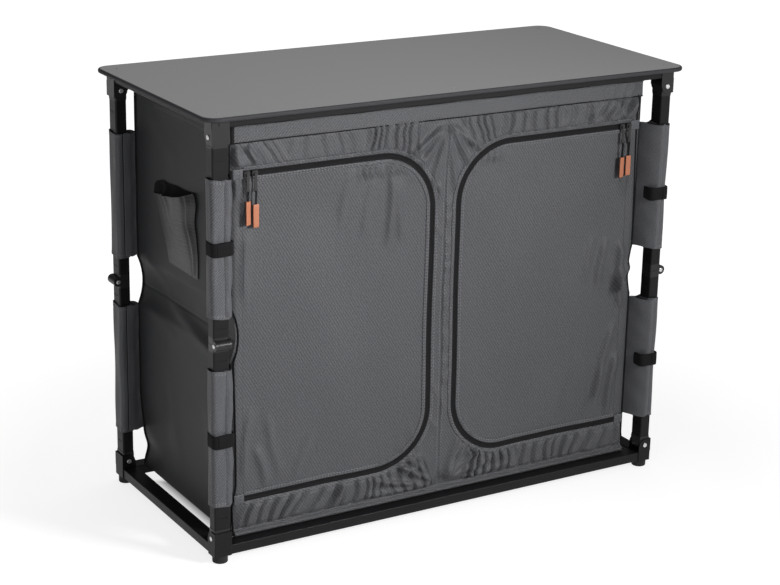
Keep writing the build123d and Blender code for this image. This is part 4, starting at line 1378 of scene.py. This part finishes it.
class CUPBOARD_OT_sides(bpy.types.Operator):
    """Makes the two dark side panels, the back, the divider and the floor's cloth"""

    bl_idname = "cupboard.sides"
    bl_label = "Sides, back and inside"

    def execute(self, context):
        seam_low, seam_high = side_seam - 0.022, side_seam + 0.022
        rows = np.concatenate([np.linspace(box_bottom, seam_low, 60)[:-1],
                               np.linspace(seam_low, seam_high, 20),
                               np.linspace(seam_high, box_top, 60)[1:]])
        y, z = grid_places(np.linspace(side_low.y, side_high.y, 76), rows)
        height, depth = box_top - box_bottom, side_high.y - side_low.y
        for side, name in sides:
            back_share = smooth_step((y - 0.08) / 0.105)
            edge = corner_place("front", z) * (1 - back_share) + corner_place("back", z) * back_share
            x = side * (edge + side_relief(y, z, side))
            panel = sheet_object(f"side_cloth_{name}", [points_of(x, y, z)], [1, 2], ["dark_cloth"])
            hang(panel)
            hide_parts(f"side_panel_{name}")
            band = self.side_header(side, name)
        self.back(height)
        self.divider(depth)
        self.floor_cloth()
        self.corner_piping()
        return {"FINISHED"}

    def side_header(self, side, name):
        """The seam allowance of a side panel under the top rail."""
        columns = np.linspace(side_low.y, side_high.y, 50)
        section = ((box_top, 0.0006), (header_seam + 0.010, 0.0009), (header_seam + 0.0015, 0.0014),
                   (header_seam, 0.0010), (header_seam + 0.0006, 0.0))
        grid = [points_of(side * (panel_half + out), columns, z) for z, out in section]
        band = sheet_object(f"side_header_{name}", [np.array(grid)], [1, 2], ["dark_cloth"])
        hang(band)
        return band

    def back(self, height):
        """The back panel with its two seams, slow waves and rows of small folds."""
        x, z = grid_places(np.linspace(-panel_half, panel_half, 150), np.linspace(box_bottom, box_top, 120))
        scale = corner_place("back", z) / panel_half
        relief = front_sway(-x, z) * 1.6
        for place in range(-9, 10):
            start, end = (place * 0.044 + 0.006, header_seam + 0.004), (place * 0.046, header_seam - 0.07)
            relief = relief + one_fold(x, z, start, end, 0.0012, 0.009)
            start, end = (place * 0.045, 0.13), (place * 0.044 - 0.004, box_bottom - 0.004)
            relief = relief + one_fold(x, z, start, end, 0.0014, 0.009)
        seam = -0.0012 * np.exp(-((z - header_seam) / 0.0022) ** 2)
        seam = seam - 0.0009 * np.exp(-((z - side_seam) / 0.0022) ** 2)
        points = points_of(x * scale, -front_y + relief + seam, z)
        panel = sheet_object("back_cloth", [points], [0, 2], ["dark_cloth"])
        hang(panel)
        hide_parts("back_panel")

    def divider(self, depth):
        """The cloth wall behind the middle seam, in two parts, above and below the shelf."""
        low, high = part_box("divider")
        shelf_low, shelf_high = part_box("shelf_boards")
        patches = []
        for bottom, top in ((low.z, shelf_low.z - 0.0003), (shelf_high.z + 0.0003, high.z)):
            y, z = grid_places(np.linspace(low.y, high.y, 50), np.linspace(bottom, top, 44))
            share = (z - bottom) / (top - bottom)
            still = smooth_step((0.184 - np.abs(y)) / 0.03)
            x = 0.0022 * np.sin(11 * y + 7 * z) * np.sin(math.pi * share) * still
            patches.append(points_of(x, y, z))
        wall = sheet_object("divider_cloth", patches, [1, 2], ["dark_cloth"])
        hang(wall)
        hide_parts("divider")

    def floor_cloth(self):
        """The cloth floor of the box."""
        columns = np.linspace(floor_low.x, floor_high.x, 90)
        x, y = grid_places(columns, np.linspace(floor_low.y, floor_high.y, 44))
        rise = 0.0004 * np.sin(21 * x) * np.sin(17 * y) + 0.0006
        sheet = sheet_object("floor_cloth", [points_of(x, y, floor_low.z + rise)], [0, 1], ["dark_cloth"])
        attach(sheet, "base")
        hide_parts("box_floor")

    def corner_piping(self):
        """Black piping down the box's two back corners."""
        heights = np.linspace(box_bottom + 0.001, box_top - 0.001, 110)
        for side, name in sides:
            x = side * (corner_place("back", heights) + 0.0006)
            y = -front_y + 0.0002 + 0.0004 * np.sin(heights * 47 + side)
            cord = tube(f"corner_piping_back_{name}", points_of(x, y, heights), 0.0022, ["black_webbing"])
            hang(cord)


class CUPBOARD_OT_flaps(bpy.types.Operator):
    """Makes the flaps that tie the box's corners to the sleeves"""

    bl_idname = "cupboard.flaps"
    bl_label = "Corner flaps"

    def execute(self, context):
        for name in legs:
            for half in ("lower", "upper"):
                self.flap(name, half)
        return {"FINISHED"}

    def lines(self, name, corner_x, puffed):
        """Plan lines of a flap's outer and inner layer, from the box's corner on to the sleeve."""
        centre, inwards, _ = leg_places(name)
        half_x, half_y = sleeve_half_depth, sleeve_half_width
        if inwards.x == 0:
            half_x, half_y = half_y, half_x
        near_x = abs(centre.x) - half_x - flap_clear
        outer_y = abs(centre.y) + half_y + flap_clear
        inner_y = abs(centre.y) - half_y - flap_clear
        front = name.startswith("front")
        corner = Vector((corner_x - 0.0004, -front_y - (0.0040 if front else 0.0), 0))
        if front:
            # A round line that meets the sleeve's front without a step
            goal = Vector((near_x + 0.0035, outer_y + 0.0002, 0))
            way = goal - corner
            round_off = 0.0034 * (0.4 + 0.6 * puffed)
            aside = Vector((-way.y, way.x, 0)).normalized() * round_off
            outer = [corner, corner + way * 0.33 + aside * 0.8, corner + way * 0.68 + aside, goal,
                     goal + Vector((0.0065, 0.0002, 0)), goal + Vector((0.0115, -0.0026, 0))]
        else:
            swell = 0.0042 * puffed
            meeting = Vector((near_x, outer_y, 0))
            way = (meeting - corner).normalized()
            aside = Vector((-way.y, way.x, 0)) if way.x * way.y > 0 else Vector((way.y, -way.x, 0))
            swollen = aside * (swell if aside.y > 0 or aside.x < 0 else -swell)
            outer = [corner, corner.lerp(meeting, 0.5) + swollen,
                     Vector((near_x + 0.0004, outer_y - 0.0055, 0)),
                     Vector((near_x + 0.0050, outer_y - 0.0004, 0)),
                     Vector((near_x + 0.014, outer_y, 0))]
        # How far the inner layer reaches along the sleeve
        reach = {"front_left": 0.010, "front_right": 0.0145}.get(name, 0.014)
        bend = corner.lerp(Vector((near_x, inner_y, 0)), 0.5) + Vector((0, 0.0010, 0))
        inner = [corner, bend, Vector((near_x + 0.002, inner_y + 0.0004, 0)),
                 Vector((near_x + reach, inner_y, 0))]
        return outer, inner

    def flap(self, name, half):
        """One flap of two layers between the box's corner and a sleeve, and the seams that hold it."""
        low, high = sleeve_ends(name, half)
        side = 1 if name.endswith("right") else -1
        depth_side = 1 if name.startswith("back") else -1
        heights = np.linspace(low.z + 0.0015, high.z - 0.0010, 56)
        layers, seams = [[], []], [[], []]
        strap_middle = strap_place(name, half)
        for z in heights:
            corner_x = float(corner_place(name, z))
            pinch = 0.0 if strap_middle is None else math.exp(-((z - strap_middle) / 0.020) ** 4)
            for number, line in enumerate(self.lines(name, corner_x, 1 - pinch)):
                row = []
                run = smooth_line(line, 6)
                for step, place in enumerate(run):
                    share = step / (len(run) - 1)
                    loose = math.sin(math.pi * min(share * 1.25, 1.0))
                    waves = 0.0011 * math.sin(52 * z + 2 * side + number)
                    waves += 0.0006 * math.sin(131 * z + 5 * share)
                    stir = loose * (1 - 0.8 * pinch) * waves
                    row.append((side * (place[0] - stir * 0.5), depth_side * (place[1] + stir),
                                z + 0.0010 * math.sin(9 * share)))
                layers[number].append(row)
                seams[number].append(row[-2])
        patches = [np.array(layer) for layer in layers]
        points, faces, flat = [], [], []
        for patch in patches:
            faces += grid_faces(patch.shape[0], patch.shape[1], first=len(points))
            lengths = line_lengths(patch[0])
            flat += [(length, row[0][2]) for row in patch for length in lengths]
            points += list(patch.reshape(-1, 3))
        piece = mesh_object(f"flap_{half}_{name}", points, faces, flat, ["grey_twill_painted_light"])
        hang(piece)
        # The outer layer of a front flap has no stitching.
        sewn = []
        for number, seam in enumerate(seams):
            out = np.array([0, depth_side * (1 if number == 0 else -1), 0])
            if number == 1 or depth_side > 0:
                sewn.append((np.array(seam) + out * 0.0002, [out] * len(seam)))
        thread = stitches(f"flap_stitching_{half}_{name}", sewn)
        hang(thread)
        # On a back flap, a thin black cord along the end seam: painted shadow under the flap's edge.
        if depth_side > 0:
            edge = patches[1][:, -1] + np.array([side * 0.0004, 0, 0])
            cord = tube(f"flap_seam_shadow_{half}_{name}", edge, 0.0008, ["black_webbing"], corners=6)
            hang(cord)


class CUPBOARD_OT_pocket(bpy.types.Operator):
    """Makes the sagging pocket on the left side"""

    bl_idname = "cupboard.pocket"
    bl_label = "Side pocket"

    def execute(self, context):
        # The pocket's edges as depth and height, and how far each place sags off the wall
        lip = [(0.120, 0.5955, 0.0), (0.077, 0.6030, 0.007), (0.036, 0.6100, 0.012), (-0.003, 0.6180, 0.014),
               (-0.025, 0.6240, 0.011), (-0.043, 0.6308, 0.006), (-0.0525, 0.6352, 0.001)]
        wall_line = [(0.120, 0.5965, 0), (0.1135, 0.6165, 0), (0.086, 0.6270, 0), (0.053, 0.6280, 0),
                     (0.023, 0.6310, 0), (-0.010, 0.6312, 0), (-0.0525, 0.6360, 0)]
        back_line = [(0.120, 0.5955, 0), (0.102, 0.5705, 0), (0.082, 0.5380, 0), (0.0655, 0.5065, 0),
                     (0.0555, 0.4805, 0)]
        front_line = [(-0.0525, 0.6352, 0), (-0.0600, 0.6168, 0), (-0.0540, 0.5835, 0), (-0.0600, 0.5565, 0),
                      (-0.0650, 0.5215, 0), (-0.0640, 0.4800, 0)]
        foot = [(0.0555, 0.4805, 0), (-0.0640, 0.4800, 0)]
        across, down = 56, 50
        wall = -(panel_half + 0.0022)
        top, bottom = self.even(lip, across), self.even(foot, across)
        left, right = self.even(back_line, down), self.even(front_line, down)
        rows = []
        for j, t in enumerate(np.linspace(0, 1, down)):
            row = []
            for i, s in enumerate(np.linspace(0, 1, across)):
                flat = ((1 - t) * top[i] + t * bottom[i] + (1 - s) * left[j] + s * right[j]
                        - (1 - s) * (1 - t) * top[0] - s * (1 - t) * top[-1]
                        - (1 - s) * t * bottom[0] - s * t * bottom[-1])
                row.append((wall - self.bulge(s, t, top[i][2]) - 0.0006, flat[0], flat[1]))
            rows.append(row)
        outer = np.array(rows)
        pocket = sheet_object("pocket_cloth", [outer], [1, 2], ["dark_pocket_cloth"])
        hang(pocket)
        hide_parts("side_pocket")
        # A dark sheet fills the open mouth between the wall and the lip: painted shade inside the pocket.
        upper = self.even(wall_line, across)
        wall_places = points_of(wall + 0.0004, upper[:, 0], upper[:, 1])
        lip_places = outer[0] + np.array([0.0006, 0, 0.0001])
        hollow = 0.0030 * np.sin(math.pi * np.arange(across) / (across - 1))
        mouth = []
        for share in np.linspace(0, 1, 8):
            row = wall_places * (1 - share) + lip_places * share
            row[:, 0] += math.sin(math.pi * share) * hollow
            mouth.append(row)
        mouth_shade_sheet = sheet_object("pocket_mouth_shade", [np.array(mouth)], [1, 2], ["pocket_mouth_shade"])
        hang(mouth_shade_sheet)
        rim = tube("pocket_binding", outer[0] + np.array([-0.0003, 0, 0.0003]), 0.0010,
                   ["dark_pocket_cloth"])
        hang(rim)
        return {"FINISHED"}

    def bulge(self, s, t, lip_sag):
        """How far the pocket stands off the wall, at shares of the way across and down it."""
        sag = lip_sag * (1 - t) ** 1.3 + 0.004 * math.sin(math.pi * s) * math.sin(math.pi * t)
        # Creases that run down from the lip: height, place, drift and how far down they reach
        creases = ((0.0042, 0.40, 0.12, 0.62), (-0.0036, 0.27, 0.22, 0.8), (0.0016, 0.62, -0.30, 0.5))
        crease = 0.0
        for height, place, drift, end in creases:
            crease += height * math.exp(-((s - place - drift * t) / 0.05) ** 2) * max(1 - t / end, 0.0)
        fold = 0.0040 * math.exp(-((s - 0.90 + 0.02 * math.sin(7 * t)) / 0.028) ** 2)
        fold -= 0.0022 * math.exp(-((s - 0.84) / 0.03) ** 2)
        ripple = 0.0004 * math.sin(95 * t + 3 * s)
        ripple *= math.exp(-((s - 0.55) / 0.25) ** 2) * math.exp(-((t - 0.55) / 0.25) ** 2)
        hold = float(smooth_step(min(s, 1 - s) / 0.04) * smooth_step((1 - t) / 0.05))
        return sag + (crease + fold * (0.5 + 0.5 * (1 - t)) + ripple) * hold

    def even(self, places, count):
        """Evenly spaced places along a smooth line."""
        line = np.array(smooth_line(places, 12))
        lengths = line_lengths(line[:, :2])
        spots = np.linspace(0, lengths[-1], count)
        return np.stack([np.interp(spots, lengths, line[:, axis]) for axis in range(3)], axis=1)


# Stage

def aim(lamp, place, target):
    """Stands a light at a place and turns it to a target."""
    lamp.location = place
    lamp.rotation_euler = (Vector(target) - Vector(place)).to_track_quat("-Z", "Y").to_euler()


class CUPBOARD_OT_stage(bpy.types.Operator):
    """Makes the floor, the white surround, the lights and the camera"""

    bl_idname = "cupboard.stage"
    bl_label = "Stage"

    def execute(self, context):
        scene = context.scene
        stage = scene.cupboard_stage
        scene.view_settings.view_transform = "Standard"
        self.floor()
        self.surround(scene, stage.surround)
        # Name, power, size, spread, place and target of each light
        for name, power, size, spread, place, target in (
                ("key_light", stage.key_power, 0.5, 1.25, (1.05, -2.3, 1.35), (-0.60, -0.19, 0.45)),
                ("fill_light", stage.fill_power, 0.7, 3.1, (-1.5, -1.5, 1.0), (-0.4, 0, 0.4)),
                ("top_light", stage.top_power, 1.6, 3.1, (0.1, 0.3, 2.6), (0, 0, 0.8))):
            lamp = bpy.data.lights.new(name, "AREA")
            lamp.energy = power
            lamp.size = size
            lamp.spread = spread
            made = bpy.data.objects.new(name, lamp)
            scene.collection.objects.link(made)
            aim(made, place, target)
        self.camera(scene)
        return {"FINISHED"}

    def floor(self):
        """A pale floor that glows white to the camera, less near the cupboard, with the glow left out under
        the box as painted shade.
        """
        tree, shader = start_material("floor_white")
        set_sockets(shader, {"Base Color": (0.35, 0.35, 0.35, 1), "Roughness": 0.9,
                             "Specular IOR Level": 0.1})
        light = add_node(tree, "ShaderNodeLightPath", (-600, 300))
        seen = math_node(tree, "MAXIMUM", light.outputs["Is Camera Ray"], light.outputs["Is Glossy Ray"],
                         (-400, 300))
        seen = math_node(tree, "MAXIMUM", seen, light.outputs["Is Transmission Ray"], (-250, 300))
        place = add_node(tree, "ShaderNodeTexCoord", (-900, 600))
        far = add_node(tree, "ShaderNodeVectorMath", (-700, 600), operation="LENGTH")
        tree.links.new(place.outputs["Object"], far.inputs[0])
        fade = add_node(tree, "ShaderNodeMapRange", (-500, 600),
                        {"From Min": 0.7, "From Max": 1.5, "To Min": 0.79, "To Max": 1.0})
        tree.links.new(far.outputs["Value"], fade.inputs["Value"])
        parts = add_node(tree, "ShaderNodeSeparateXYZ", (-700, 800))
        tree.links.new(place.outputs["Object"], parts.inputs[0])
        # The glow is left out under the box: painted shade on the floor there.
        beyond_painted_shade = []
        for axis, reach in (("X", panel_half), ("Y", -front_y)):
            limits = {"From Min": reach - 0.045, "From Max": reach - 0.002, "To Min": 0.0, "To Max": 1.0}
            shade = add_node(tree, "ShaderNodeMapRange", (-300, 800), limits,
                             interpolation_type="SMOOTHSTEP")
            distance = math_node(tree, "ABSOLUTE", parts.outputs[axis], None, (-500, 800))
            tree.links.new(distance, shade.inputs["Value"])
            beyond_painted_shade.append(shade.outputs["Result"])
        seen = math_node(tree, "MULTIPLY", seen, math_node(tree, "MAXIMUM", *beyond_painted_shade, (-100, 800)), (0, 700))
        glow = add_node(tree, "ShaderNodeEmission", (-50, 300))
        glow.inputs["Color"].default_value = (1, 1, 1, 1)
        power = math_node(tree, "MULTIPLY", seen, fade.outputs["Result"], (-150, 400))
        tree.links.new(power, glow.inputs["Strength"])
        both = add_node(tree, "ShaderNodeAddShader", (300, 200))
        tree.links.new(shader.outputs[0], both.inputs[0])
        tree.links.new(glow.outputs[0], both.inputs[1])
        tree.links.new(both.outputs[0], tree.nodes["Material Output"].inputs["Surface"])
        half, count = 9, 13
        x, y = grid_places(np.linspace(-half, half, count), np.linspace(-half, half, count))
        points = points_of(x, y, 0.0).reshape(-1, 3)
        faces = grid_faces(count, count)
        mesh_object("pale_floor", points, faces, None, ["floor_white"], smooth=False)

    def surround(self, scene, strength):
        """White where it is seen, softer where it lights the cupboard."""
        world = bpy.data.worlds.new("white_surround")
        world.use_nodes = True
        scene.world = world
        tree = world.node_tree
        back = tree.nodes["Background"]
        light = add_node(tree, "ShaderNodeLightPath", (-700, 0))
        seen = math_node(tree, "MAXIMUM", light.outputs["Is Camera Ray"],
                         light.outputs["Is Transmission Ray"], (-500, 0))
        lift = math_node(tree, "MULTIPLY", seen, 1.0 - strength, (-350, 0))
        back.inputs["Color"].default_value = (1, 1, 1, 1)
        tree.links.new(math_node(tree, "ADD", lift, strength, (-200, 0)), back.inputs["Strength"])

    def camera(self, scene):
        """The camera, fitted to the photograph's view."""
        yaw, pitch, roll = (math.radians(angle) for angle in (31.077, 18.046, 1.201))
        ahead = Vector((math.sin(yaw) * math.cos(pitch), math.cos(yaw) * math.cos(pitch), -math.sin(pitch)))
        right = Vector((math.cos(yaw), -math.sin(yaw), 0))
        up = right.cross(ahead)
        turned_right = right * math.cos(roll) + up * math.sin(roll)
        turned_up = up * math.cos(roll) - right * math.sin(roll)
        lens = bpy.data.cameras.new("front_view")
        lens.sensor_width = 36
        lens.lens = 92.71
        lens.clip_start, lens.clip_end = 0.1, 60
        made = bpy.data.objects.new("front_view", lens)
        scene.collection.objects.link(made)
        turn = Matrix((turned_right, turned_up, -ahead)).transposed().to_4x4()
        made.matrix_world = Matrix.Translation((-1.891, -3.137, 1.5668)) @ turn
        scene.camera = made


class CUPBOARD_PT_panel(bpy.types.Panel):
    """Lists the steps and the sizes and colours."""

    bl_idname = "CUPBOARD_PT_panel"
    bl_label = "Camping cupboard"
    bl_space_type = "VIEW_3D"
    bl_region_type = "UI"
    bl_category = "Cupboard"

    def draw(self, context):
        for operator in operators:
            self.layout.operator(operator.bl_idname)
        for group in (context.scene.cupboard_cloth, context.scene.cupboard_hard,
                      context.scene.cupboard_stage):
            box = self.layout.box()
            for name in group.__annotations__:
                box.prop(group, name)


property_groups = (("cupboard_cloth", CupboardCloth), ("cupboard_hard", CupboardHard),
                   ("cupboard_stage", CupboardStage))
operators = (CUPBOARD_OT_materials, CUPBOARD_OT_stage, CUPBOARD_OT_worktop, CUPBOARD_OT_frame,
             CUPBOARD_OT_sleeves, CUPBOARD_OT_front, CUPBOARD_OT_doors, CUPBOARD_OT_zips,
             CUPBOARD_OT_pullers, CUPBOARD_OT_sides, CUPBOARD_OT_flaps, CUPBOARD_OT_pocket)


def register():
    for name, group in property_groups:
        bpy.utils.register_class(group)
        setattr(bpy.types.Scene, name, bpy.props.PointerProperty(type=group))
    for operator in operators:
        bpy.utils.register_class(operator)
    bpy.utils.register_class(CUPBOARD_PT_panel)


def unregister():
    bpy.utils.unregister_class(CUPBOARD_PT_panel)
    for operator in reversed(operators):
        bpy.utils.unregister_class(operator)
    for name, group in reversed(property_groups):
        delattr(bpy.types.Scene, name)
        bpy.utils.unregister_class(group)


def main():
    register()
    for operator in operators:
        section, step = operator.bl_idname.split(".")
        getattr(getattr(bpy.ops, section), step)()


if __name__ == "__main__":
    main()
